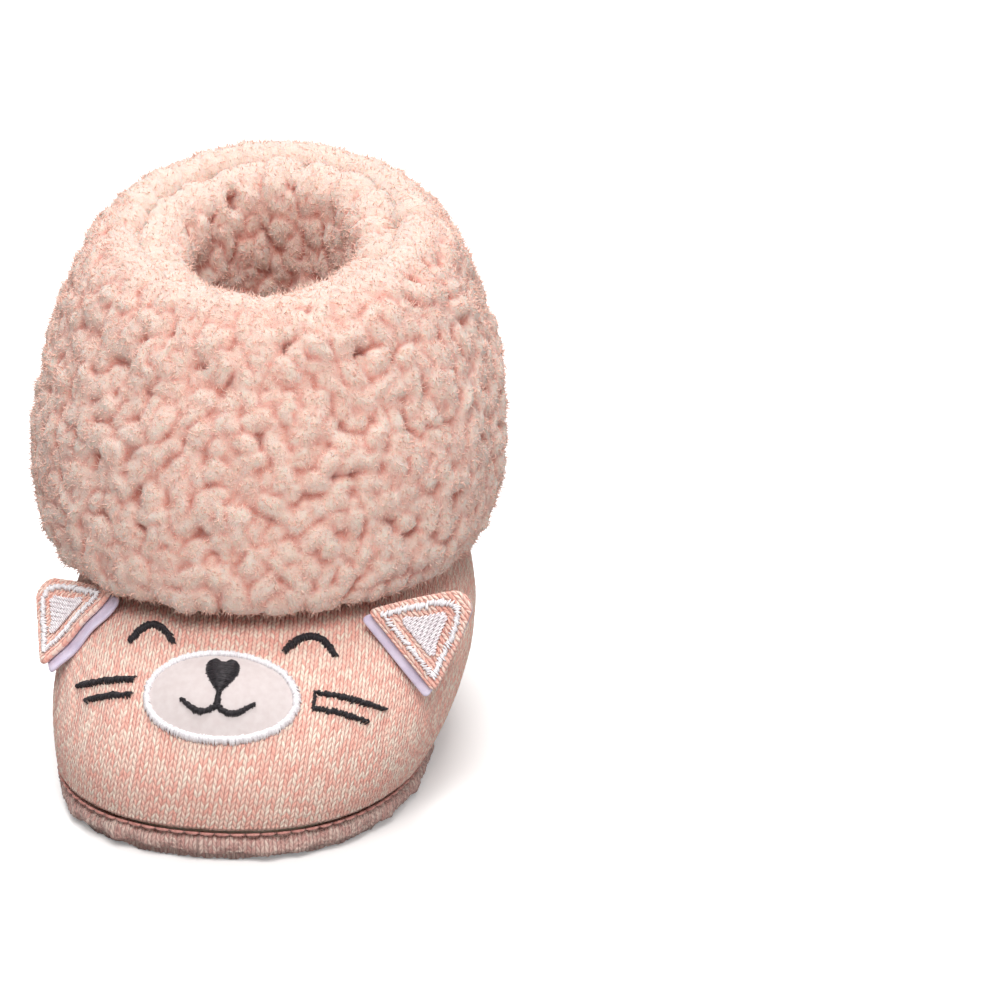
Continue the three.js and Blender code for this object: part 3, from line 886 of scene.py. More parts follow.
def crossing(
    path: Array,
    width: float | Array,
    pitch: float,
    slant: float,
    ragged: float,
    rng: np.random.Generator,
) -> tuple[Array, Array, Array]:
    """Satin stitches laid side by side across a path.

    Args:
        path: Places along the path.
        width: Width of the line, one or one for each share of the path.
        pitch: Distance between stitches.
        slant: How far a stitch's two ends are moved along the path.
        ragged: How far the ends stray.
        rng: Source of that stray.

    Returns:
        The middles, the first ends and the last ends.
    """
    count = max(int(line_length(path) / pitch), 3)
    spots = spaced(path, count)
    way = unit(np.gradient(spots, axis=0))
    across = np.stack([-way[:, 1], way[:, 0]], -1)
    shares = np.linspace(0, 1, count)
    wide = np.interp(shares, np.linspace(0, 1, np.size(width)), np.atleast_1d(width)) / 2
    stray = rng.normal(0, ragged, (2, count))
    first = spots + across * (wide + stray[0])[:, None] + way * slant / 2
    last = spots - across * (wide + stray[1])[:, None] - way * slant / 2
    return spots, first, last


@dataclass
class Embroidery:
    """Satin stitches on the vamp, placed by how far sideways and up the slope they lie."""

    foot: Foot
    level: float = 0.533
    shift: float = -0.2
    bow: float = 0.01
    pitch: float = 0.21
    radius: float = 0.15

    def point(self, sideways: Array, climb: Array, off: Array) -> Array:
        """Point over the vamp, a distance off its face."""
        return self.foot.layer(*self.place(sideways, climb), -np.asarray(off, float))

    def place(self, sideways: Array, climb: Array) -> tuple[Array, Array]:
        """Angle and rise for a place: lengths on the fabric over how fast the fabric moves."""
        sideways, climb = np.broadcast_arrays(
            np.asarray(sideways, float), np.asarray(climb, float)
        )
        zero = np.zeros(1)
        slope = np.linalg.norm(self.foot.slopes(zero, zero + self.level)[1])
        rise = self.level + (climb - self.bow * sideways**2) / slope
        radius = np.linalg.norm(self.foot.slopes(np.zeros_like(rise), rise)[0], axis=-1)
        return (sideways + self.shift) / radius, rise

    def normal(self, sideways: Array, climb: Array) -> Array:
        """Vector out of the vamp at a place."""
        return self.foot.normal(*self.place(sideways, climb))

    def run(
        self,
        work: Piecework,
        path: Array,
        width: float | Array,
        off: float,
        arch: float,
        seed: int,
        ragged: float = 0.12,
        slant: float = 0.25,
    ) -> None:
        """Adds a line of satin stitches along a path.

        Args:
            work: Piecework that takes the threads.
            path: Places along the path.
            width: Width of the line, one or one for each share of the path.
            off: Height of the threads' ends over the fabric.
            arch: Height of the middles over the ends.
            seed: Seed of the ragged ends.
            ragged: How far the ends stray.
            slant: How far a thread's two ends are moved along the path.
        """
        rng = np.random.default_rng(seed)
        spots, first, last = crossing(path, width, self.pitch, slant, ragged, rng)
        lift = off + rng.normal(0, 0.025, len(spots))
        threads = satin(
            self.point(first[:, 0], first[:, 1], lift),
            self.point(last[:, 0], last[:, 1], lift),
            self.normal(spots[:, 0], spots[:, 1]),
            self.radius,
            arch,
        )
        work.tubes(*threads)


# ---- the sole --------------------------------------------------------------------------------


@dataclass
class Sole:
    """The knitted tray, its foam, the insole, the seams' threads and the grip dots."""

    foot: Foot
    under: float = 0.7
    floor: float = 2.6
    rim: float = 4.6
    wall: float = 2.2
    columns: int = 600
    groove: float = 4.4

    def profile(self) -> tuple[Array, Array, int]:
        """The tray's section from the middle of its underside, round its wall, to the middle.

        Returns:
            Insets, heights, and the number of points on the underside.
        """
        inner = np.linspace(self.foot.half_width, 1.6, 66)
        turn = np.linspace(0, math.pi, 32)[1:]
        height = self.under + 0.35 + (self.rim - self.under - 0.35) * (1 - np.cos(turn)) / 2
        side_inset = 1.25 - 1.55 * np.sin(turn) ** np.where(turn > math.pi / 2, 1.0, 0.8)
        down = np.linspace(self.rim - 0.3, self.floor + 0.3, 5)
        back = np.linspace(self.wall + 0.4, self.foot.half_width, 12)
        inset = np.concatenate([inner, side_inset, np.full(len(down), self.wall), back])
        level = np.concatenate(
            [np.full(len(inner), self.under), height, down, np.full(len(back), self.floor)]
        )
        return inset, level, len(inner)

    def tray(self) -> bpy.types.Object:
        """The knitted underside and the soft wall round it, stitched all over.

        The section is carried round the outline. Stitches stand out along the surface's
        normal: on the underside by x and y, on the wall by the way round and up.
        """
        inset, level, bottom = self.profile()
        angle = self.even_angles(self.columns)
        points = self.foot.sole_point(angle[:, None], inset[None], level[None])
        arc = distances(points[:, bottom + 8])
        path = np.r_[0, np.cumsum(np.hypot(np.diff(inset), np.diff(level)))]
        flat = np.stack(np.broadcast_arrays(arc[:, None], path[None]), -1)
        flat[:, : bottom + 1] = points[:, : bottom + 1, :2]
        lift = stitch_height(flat[..., 0], flat[..., 1])
        normal = unit(np.cross(np.gradient(points, axis=1), self.around(points)))
        normal[:, :bottom] = (0, 0, -1)
        normal[:, -17:] = (0, 0, 1)
        number = np.arange(len(inset))
        under = number < bottom
        wall = (number >= bottom - 4) & (number < bottom + 31)
        ditch = 0.45 * np.exp(-(((inset - self.groove) / 0.7) ** 2)) * under
        size = np.where(wall, 0.4, np.where(under, 0.24, 0.0))
        puff = wall * (0.38 * rumple(points, 6.0, 17) + 0.16 * rumple(points, 2.4, 18))
        points = points + normal * (lift * size + puff - ditch)[..., None]
        work = Piecework().grid(points, flat, ring=True)
        return work.build("outsole_knit_skin", merge=0.02)

    def even_angles(self, count: int) -> Array:
        """Angles at equal steps of the way round the sole's edge."""
        fine = np.linspace(0, TAU, 4001)
        edge = self.foot.sole_point(fine, 0.0, 0.0)
        length = distances(edge)
        return np.interp(np.linspace(0, length[-1], count, endpoint=False), length, fine)

    @staticmethod
    def around(points: Array) -> Array:
        """Step from each point to the next one round the outline."""
        return np.roll(points, -1, axis=0) - np.roll(points, 1, axis=0)

    def pad(self, name: str, inset: float, low: float, high: float) -> bpy.types.Object:
        """A soft slab inside the outline, round-edged, its upper face a little uneven."""
        half, across = (high - low) / 2, 18
        turn = np.linspace(-math.pi / 2, math.pi / 2, 9)
        edge = inset + half * 0.8 * (1 - np.cos(turn))
        side = low + half + half * np.sin(turn)
        face = np.linspace(self.foot.half_width, inset + 1.4, across)
        insets = np.concatenate([face, edge, face[::-1]])
        levels = np.concatenate([np.full(across, low), side, np.full(across, high)])
        angle = self.even_angles(160)
        points = self.foot.sole_point(angle[:, None], insets[None], levels[None])
        top = np.arange(len(insets)) >= across + len(turn)
        points[..., 2] += np.where(top, 0.12 * rumple(points, 5.0, 11), 0)
        return Piecework().grid(points, points[..., :2], ring=True).build(name, merge=0.02)

    def seam(self) -> bpy.types.Object:
        """The lockstitch in the groove between sole and upper: short threads end to end."""
        turn = self.even_angles(108)
        spots = self.foot.sole_point(turn, 0.1, self.rim + 0.45)
        ahead = np.roll(spots, -1, axis=0)
        normal = unit(np.stack([np.sin(turn), -np.cos(turn), 0.2 + 0 * turn], -1))
        first, last = spots * 0.97 + ahead * 0.03, ahead * 0.97 + spots * 0.03
        threads = satin(first, last, normal, 0.24, 0.2)
        return Piecework().tubes(*threads).build("sole_seam_stitches")

    def border(self) -> bpy.types.Object:
        """The running stitch that holds the sole's edge down, one thread after another."""
        count = 74
        spots = self.foot.sole_point(self.even_angles(count * 3), self.groove, self.under + 0.05)
        normal = np.tile([0.0, 0.0, -1.0], (count, 1))
        threads = satin(spots[0::3], spots[2::3], normal, 0.22, 0.22)
        return Piecework().tubes(*threads).build("sole_border_stitches")

    def build(self, wardrobe: Wardrobe, nodes: list[str]) -> None:
        """Makes and dresses the sole's pieces, given the names of the frame's nodes."""
        dress(self.tray(), wardrobe.sole_knit, "shoe", "sole_knit", "outsole_knit")
        foam = self.pad("sole_foam_pad", 2.7, 3.0, 4.8)
        dress(foam, wardrobe.foam, "shoe", "foam", "sole_foam")
        insole = self.pad("insole_fleece_pad", 5.9, 5.25, 7.1)
        dress(insole, wardrobe.fleece, "shoe", "fleece_lining", "insole_fleece")
        dress(self.seam(), wardrobe.seam, "shoe", "seam_thread", "sole_seam_thread")
        dress(self.border(), wardrobe.seam, "shoe", "seam_thread")
        self.grips(wardrobe, nodes)

    def grips(self, wardrobe: Wardrobe, nodes: list[str]) -> None:
        """A soft heart of rubber in the place of every grip dot, its point to the heel.

        The outline is a circle whose radius gains a notch at the front and a point behind; the
        height falls from the middle to the edge as a quarter of a circle.
        """
        names = sorted(name for name in nodes if name.startswith("grip_dot"))
        turn = np.linspace(0, TAU, 40, endpoint=False)
        notch = 1 - 0.2 * np.exp(-((np.abs(turn - math.pi) / 0.5) ** 2))
        point = 1 + 0.14 * np.exp(-((np.minimum(turn, TAU - turn) / 0.4) ** 2))
        shoulder = 1 + 0.05 * np.exp(-(((np.abs(turn - math.pi) - 0.8) / 0.4) ** 2))
        for name in names:
            low, high = (np.array(corner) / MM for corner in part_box(name))
            centre, radius = (low + high) / 2, (high[0] - low[0]) / 2
            outline = 0.94 * radius * notch * point * shoulder
            quarter = np.linspace(0, math.pi / 2, 7)
            share = np.r_[0.02, np.sin(quarter[1:]), 0.9, 0.02]
            height = np.r_[0.0, 0.75 * (1 - np.cos(quarter[1:])), 0.8, 0.8]
            x = centre[0] + outline[:, None] * share * np.sin(turn)[:, None]
            y = centre[1] + outline[:, None] * share * np.cos(turn)[:, None]
            z = np.broadcast_to(height, x.shape)
            grid = np.swapaxes(np.stack([x, y, z], -1), 0, 1)
            dot = Piecework().grid(grid, grid[..., :2], loop=True, caps=True)
            dress(dot.build(f"{name}_heart"), wardrobe.grip, "shoe", "grip_rubber", name)


# ---- the upper -------------------------------------------------------------------------------


@dataclass
class Panel:
    """One shell of cloth on the foot, its four edges rolled.

    Attributes:
        name: Name of the piece.
        start: First angle in degrees.
        end: Last angle in degrees.
        top: Rise of its upper edge.
        out: Depth of its outer face.
        thick: Its thickness.
        columns: Points round the foot.
        rows: Points up the outer face.
        stitch: Height of the knitting, or 0.
        pile: Height of the fleece, or 0.
        edge: How far in from an edge the roll begins.
    """

    name: str
    start: float
    end: float
    top: float = 1.0
    out: float = 0.0
    thick: float = 2.0
    columns: int = 430
    rows: int = 176
    stitch: float = 0.0
    pile: float = 0.0
    edge: float = 1.1

    def build(self, foot: Foot) -> bpy.types.Object:
        """Makes the shell.

        Columns stand at equal steps of the way round. Each is one closed loop: up the outer
        face, over the top edge on a half circle, down the inner face and round the lower edge.
        Both ends are drawn to the middle of the thickness on a quarter circle.

        Args:
            foot: The foot that it follows.

        Returns:
            The shell.
        """
        fine = np.radians(np.linspace(self.start, self.end, 1201))
        line = foot.upper_point(fine, 0.4)
        length = distances(line)
        angle = np.interp(np.linspace(0, length[-1], self.columns), length, fine)
        roll = self.edge / 46
        half = np.linspace(0, math.pi, 9)[1:-1]
        outer = np.linspace(roll, self.top - roll, self.rows)
        inner = np.linspace(self.top - roll, roll, 9)
        over = roll * (1 - np.sin(half))
        rise = np.concatenate([outer, self.top - over, inner, over])
        turn_in = (1 - np.cos(half)) / 2
        share = np.concatenate([np.zeros(self.rows), turn_in, np.ones(9), turn_in[::-1]])
        point = foot.upper_point(angle[:, None], rise[None])
        normal = foot.normal(angle[:, None], rise[None])
        middle = self.columns // 2
        steps = np.linalg.norm(np.diff(point, axis=0), axis=-1)
        across = np.concatenate([np.zeros((1, len(rise))), np.cumsum(steps, axis=0)])
        near_end = np.minimum(across, across[-1:] - across)
        across = across - across[middle]
        climb = np.linalg.norm(np.diff(point, axis=1), axis=-1)
        along = np.concatenate([np.zeros((self.columns, 1)), np.cumsum(climb, axis=1)], axis=1)
        pinch = np.clip(1 - near_end / self.edge, 0, 1)
        drawn = 0.94 * (1 - np.sqrt(1 - pinch**2))
        share = share[None] + (0.5 - share[None]) * drawn
        face = np.r_[np.ones(self.rows), np.linspace(1, 0, 7), np.zeros(9), np.linspace(0, 1, 7)]
        lift = self.stitch * (stitch_height(across, along) - 0.35)
        lift = lift + 0.12 * rumple(point, 14.0, 5)
        if self.pile:
            lift = lift + self.pile * rumple(point, 2.6, 7)
        depth = self.out + self.thick * share - lift * face[None] * (1 - drawn)
        grid = point - normal * depth[..., None]
        flat = np.stack([across, along], -1)
        return Piecework().grid(grid, flat, loop=True, caps=True).build(self.name)


@dataclass
class Upper:
    """The vamp and back panel, their linings and the elastic in the ankle seam."""

    foot: Foot
    seam: float = 100.0
    gap: float = 0.4

    def build(self, wardrobe: Wardrobe) -> None:
        """Makes and dresses the upper's pieces."""
        front, back = self.seam - self.gap, 360 - self.seam - self.gap
        vamp = Panel("vamp_knit_shell", -front, front, stitch=0.34).build(self.foot)
        dress(vamp, wardrobe.knit, "shoe", "marled_knit", "vamp_knit")
        heel = Panel(
            "back_panel_knit_shell", self.seam + self.gap, back, stitch=0.34, columns=330, rows=160
        )
        dress(heel.build(self.foot), wardrobe.knit, "shoe", "marled_knit", "back_panel_knit")
        inside = {"top": 0.89, "out": 2.45, "thick": 2.1, "rows": 70, "pile": 0.22}
        vamp = Panel("vamp_lining_shell", -front, front, columns=200, **inside).build(self.foot)
        dress(vamp, wardrobe.fleece, "shoe", "fleece_lining", "vamp_lining")
        heel = Panel("back_panel_lining_shell", self.seam + self.gap, back, columns=150, **inside)
        heel = heel.build(self.foot)
        dress(heel, wardrobe.fleece, "shoe", "fleece_lining", "back_panel_lining")
        dress(self.elastic(), wardrobe.elastic, "shoe", "elastic", "ankle_elastic")

    def elastic(self) -> bpy.types.Object:
        """The gathered band inside the ankle: a rounded section whose face is ribbed."""
        angle = np.linspace(0, TAU, 360, endpoint=False)[:, None]
        turn = np.linspace(0, TAU, 20, endpoint=False)[None]
        wide, thick = np.cos(turn), np.sin(turn)
        rise = 0.958 + 0.036 * np.sign(wide) * np.abs(wide) ** 0.6
        depth = 2.95 + 0.5 * np.sign(thick) * np.abs(thick) ** 0.6 + 0.08 * np.sin(angle * 90)
        grid = self.foot.layer(*np.broadcast_arrays(angle, rise), depth)
        return Piecework().grid(grid, None, ring=True, loop=True).build("ankle_elastic_band")


# ---- the cuff --------------------------------------------------------------------------------


@dataclass
class Pile:
    """Curled wool on a roll of backing: rounded lumps that meet in creases.

    Attributes:
        name: Name of the piece.
        section: Corners of the roll's section: reach from the cuff's axis and height.
        start: Where on the section the lumps begin, counted in corners.
        end: Where they end.
        hang: Whether the roll follows the hanging edge and not the ankle seam.
        sink: How far the lumps' foot lies inside the section.
        long: Least and greatest half length of a lump.
        wide: Least and greatest half width.
        high: Least and greatest height.
        pitch: Distance between lumps.
        columns: Points round the cuff.
        step: Distance between points round the section.
        closing: How much further the wool stands out at the rim, where two rolls meet.
        seed: Seed of the lumps.
        middle: Height of the ankle seam at the sides.
        crest: Height of the cuff over that seam.
        centre: Place of the cuff's axis along the foot.
    """

    name: str
    section: tuple[tuple[float, float], ...]
    start: float
    end: float
    hang: bool
    sink: float = 1.1
    long: tuple[float, float] = (2.6, 4.4)
    wide: tuple[float, float] = (1.8, 2.7)
    high: tuple[float, float] = (1.1, 2.1)
    pitch: float = 3.4
    columns: int = 560
    step: float = 0.42
    closing: float = 1.5
    seed: int = 1
    middle: float = 38.0
    crest: float = 47.5
    centre: float = 7.0

    def point(self, angle: Array, reach: Array, above: Array) -> Array:
        """Point of the cuff.

        The reach goes round an axis, drawn out to the front and back low down by 6 times the
        square of what is left up to the crest. The height adds the lift of the edge that the
        roll stands on, which passes into the crest's own tilt of 6 on the way up.
        """
        angle, reach, above = np.broadcast_arrays(angle, reach, above)
        s, c = np.sin(angle), np.cos(angle)
        share = np.clip(above / self.crest, 0, 1)
        lift = -5 * c
        if self.hang:
            ends = 0.3 + (2.9 - 0.3) * (c + 1) / 2
            lift = lift + 0.4 + (ends - 0.4) * c * c
        lift = lift + (-6 * c - lift) * share
        stretch = 6 * (1 - share) ** 2
        return np.stack(
            [reach * s, self.centre - (reach + stretch) * c, self.middle + above + lift], -1
        )

    def outline(self) -> tuple[Array, Array, Array]:
        """The section with cut corners, its outward vectors, and its places counted in corners."""
        corners = np.array(self.section)
        line = chaikin(corners, 3)
        place = np.mod(np.arange(len(line)) / 8 + 0.44, len(corners))
        way = np.roll(line, -1, axis=0) - np.roll(line, 1, axis=0)
        out = unit(np.stack([way[:, 1], -way[:, 0]], -1))
        ahead = np.roll(line, -1, axis=0)
        area = (line[:, 0] * ahead[:, 1] - ahead[:, 0] * line[:, 1]).sum()
        return line, out * np.sign(area), place

    def lumps(self, points: Array, size: float, seed: int) -> Array:
        """Height of the wool's lumps over points of the roll.

        Lumps stand on a jittered lattice of equal steps along the section and round the cuff.
        Each is an ellipsoid with its own heading: over a point its height is its greatest
        height times the square root of 1 - the squares of the point's distances along, across
        and off it over its half sizes. The highest lump counts, so lumps meet in creases.

        Args:
            points: Points of the roll.
            size: Size against that of the roll's main lumps.
            seed: Seed of the places and sizes.

        Returns:
            The height over each point, 0 where no lump reaches.
        """
        rng = np.random.default_rng(seed)
        line, out, place = self.outline()
        used = (place >= self.start) & (place <= self.end)
        order = np.argsort(place[used])
        line, out = line[used][order], out[used][order]
        line = line - out * self.sink
        steps = distances(line)
        pitch = self.pitch * size
        rows = np.arange(0, steps[-1], pitch * 0.9)
        counts = (TAU * (np.interp(rows, steps, line[:, 0]) + 2) / pitch).astype(int)
        row = np.repeat(np.arange(len(rows)), counts)
        first = np.repeat(np.r_[0, np.cumsum(counts)[:-1]], counts)
        many = len(row)
        step = np.arange(many) - first + (row % 2) / 2 + rng.uniform(-0.4, 0.4, many)
        angle = step / counts[row] * TAU
        along = np.clip(rows[row] + rng.uniform(-0.4, 0.4, many) * pitch, 0, steps[-1])
        spot = np.stack([np.interp(along, steps, line[:, k]) for k in (0, 1)], -1)
        away = unit(np.stack([np.interp(along, steps, out[:, k]) for k in (0, 1)], -1))
        base = self.point(angle, spot[:, 0], spot[:, 1])
        normal = unit(self.point(angle, spot[:, 0] + away[:, 0], spot[:, 1] + away[:, 1]) - base)
        ahead = self.point(angle + 0.01, spot[:, 0], spot[:, 1]) - base
        round_ = unit(ahead - normal * (ahead * normal).sum(-1, keepdims=True))
        heading = rng.normal(math.pi / 2, 0.9, many)[:, None]
        way = round_ * np.cos(heading) + np.cross(normal, round_) * np.sin(heading)
        half = rng.uniform(*self.wide, many) * size
        axes = (
            way / (rng.uniform(*self.long, many) * size)[:, None],
            np.cross(normal, way) / half[:, None],
            normal / half[:, None],
        )
        top = (rng.uniform(*self.high, many) * size).astype(np.float32)
        shifts = [(base * axis).sum(-1).astype(np.float32) for axis in axes]
        turned = [axis.T.astype(np.float32) for axis in axes]
        blocks = []
        for block in np.array_split(points.astype(np.float32), len(points) // 3000 + 1):
            left = 1 - sum((block @ axis - shift) ** 2 for axis, shift in zip(turned, shifts))
            blocks.append((top * np.sqrt(np.maximum(left, 0))).max(axis=1))
        return np.concatenate(blocks).astype(float)

    def build(self, wardrobe: Wardrobe, *nodes: str) -> bpy.types.Object:
        """Makes the piece: the roll, raised by large and small lumps, and what its finish needs.

        The stored height is the distance along the normal from a much relaxed copy of the
        skin, from 0 in the creases to 1 on the crowns. The stored wool says how likely a loose
        fibre is.
        """
        line = self.outline()[0]
        length = np.linalg.norm(np.roll(line, -1, axis=0) - line, axis=1).sum()
        line = spaced(line, int(length / self.step), closed=True)
        angle = np.linspace(0, TAU, self.columns, endpoint=False)[:, None]
        grid = self.point(angle, line[None, :, 0], line[None, :, 1])
        piece = Piecework().grid(grid, None, ring=True, loop=True).build(self.name)
        mesh = piece.data
        edges = mesh_edges(mesh)
        normals = read_normals(mesh)
        rim = np.clip((line[:, 1] - 36) / 7, 0, 1) * self.closing
        rim = np.broadcast_to(rim, grid.shape[:2]).reshape(-1)
        points = read_points(mesh) - normals * self.sink
        shift = [rumple(points, 4.5, self.seed + k) for k in (20, 21, 22)]
        bent = points + 0.5 * np.stack(shift, -1)
        large = self.lumps(bent, 1.0, self.seed)
        covered = np.clip(large / 0.5, 0, 1)
        small = np.zeros(len(points))
        small[covered > 0] = self.lumps(bent[covered > 0], 0.5, self.seed + 10)
        height = large + covered * (0.55 * small + rim)
        height = height + 0.35 * rumple(points, 12.0, self.seed + 30)
        height = height + 0.07 * covered * rumple(points, 1.2, self.seed + 60)
        points = relaxed(points + normals * height[:, None], edges, 1, 0.5)
        write_points(mesh, points)
        smooth = relaxed(points, edges, 24)
        height = ((points - smooth) * read_normals(mesh)).sum(-1)
        crown = np.clip(0.5 + height / (3.6 * height.std()), 0, 1)
        wool = covered * np.clip(crown - 0.25, 0.02, 0.4)
        # the sherpa's finish paints shade in the creases and a highlight on the crowns from this
        # height
        write_values(mesh, Sherpa.place, crown)
        write_values(mesh, "wool", wool)
        dress(piece, wardrobe.sherpa, "shoe", "sherpa", *nodes)
        return piece


def fibres(
    mesh: bpy.types.Mesh, count: int, length: tuple[float, float], thick: float, seed: int
) -> Piecework:
    """Loose fibres that stand off a mesh, more of them where its wool is greater.

    Each is a thin closed spike: three points round its root and one at its tip, which lies
    along the normal with a random vector of length 1 added to 0.45 of it.

    Args:
        mesh: Mesh with its wool stored at its points.
        count: Number of fibres.
        length: Least and greatest length.
        thick: Radius at the root.
        seed: Seed of the places and vectors.

    Returns:
        The fibres.
    """
    points, normals = read_points(mesh), read_normals(mesh)
    chance = read_values(mesh.attributes["wool"].data, "value", 1)[:, 0]
    rng = np.random.default_rng(seed)
    pick = rng.choice(len(points), count, replace=False, p=chance / chance.sum())
    root, normal = points[pick] - normals[pick] * 0.1, normals[pick]
    way = unit(normal * 0.45 + unit(rng.normal(size=(count, 3))))
    way = unit(way + normal * np.maximum(0.15 - (way * normal).sum(-1, keepdims=True), 0))
    side = unit(np.cross(way, unit(rng.normal(size=(count, 3)))))
    other = np.cross(way, side)
    turn = np.linspace(0, TAU, 3, endpoint=False)[:, None]
    ring = side[:, None] * np.cos(turn) + other[:, None] * np.sin(turn)
    tip = root + way * rng.uniform(*length, count)[:, None]
    corners = np.concatenate([root[:, None] + ring * thick, tip[:, None]], axis=1)
    work = Piecework()
    numbers = work.keep(corners, None) + np.arange(count * 4).reshape(count, 4)
    for face in ((0, 1, 3), (1, 2, 3), (2, 0, 3), (0, 2, 1)):
        work.faces.append(numbers[:, face])
    return work


@dataclass
class Cuff:
    """The sherpa cuff: the fold that hangs outside, the wall inside it and the roll below."""

    hanging: tuple = (
        (29.6, 0.0), (34.9, -0.6), (36.9, 4.5), (37.5, 14.0), (36.5, 24.0), (33.5, 35.0),
        (28.0, 43.5), (23.4, 47.5), (21.7, 46.0), (24.0, 39.5), (26.6, 33.0), (28.6, 21.0),
        (29.2, 10.0),
    )  # fmt: skip
    standing: tuple = (
        (17.0, 0.6), (25.2, 0.6), (26.4, 6.0), (27.2, 14.0), (26.4, 23.0), (24.2, 34.0),
        (22.0, 38.0), (20.3, 45.5), (16.2, 45.1), (13.9, 39.5), (13.6, 30.0), (14.6, 17.0),
    )  # fmt: skip
    roll: tuple = ((25.6, 0.3), (27.8, 0.87), (27.8, 1.82), (25.9, 2.2))

    def build(self, wardrobe: Wardrobe) -> None:
        """Makes and dresses the three rolls."""
        fold = Pile("cuff_hanging_fold_pile", self.hanging, 0.3, 9.6, True, seed=3)
        fold = fold.build(wardrobe, "cuff_hanging_fold")
        wall = Pile(
            "cuff_standing_wall_pile", self.standing, 5.8, 11.9, False, seed=4, columns=430
        ).build(wardrobe, "cuff_standing_wall")
        for name, piece, count, seed in (
            ("cuff_loose_fibres", fold, 47000, 12),
            ("throat_loose_fibres", wall, 20000, 13),
        ):
            fuzz = fibres(piece.data, count, (0.5, 1.6), 0.1, seed)
            dress(fuzz.build(name), wardrobe.fluff, "shoe", "sherpa")
        Pile(
            "cuff_base_roll_pile", self.roll, 0.0, 3.9, False, sink=0.5, long=(1.3, 2.0),
            wide=(0.8, 1.2), high=(0.6, 1.0), pitch=1.7, step=0.25, closing=0.0, seed=5,
        ).build(wardrobe, "cuff_base_roll")  # fmt: skip


# ---- the face --------------------------------------------------------------------------------


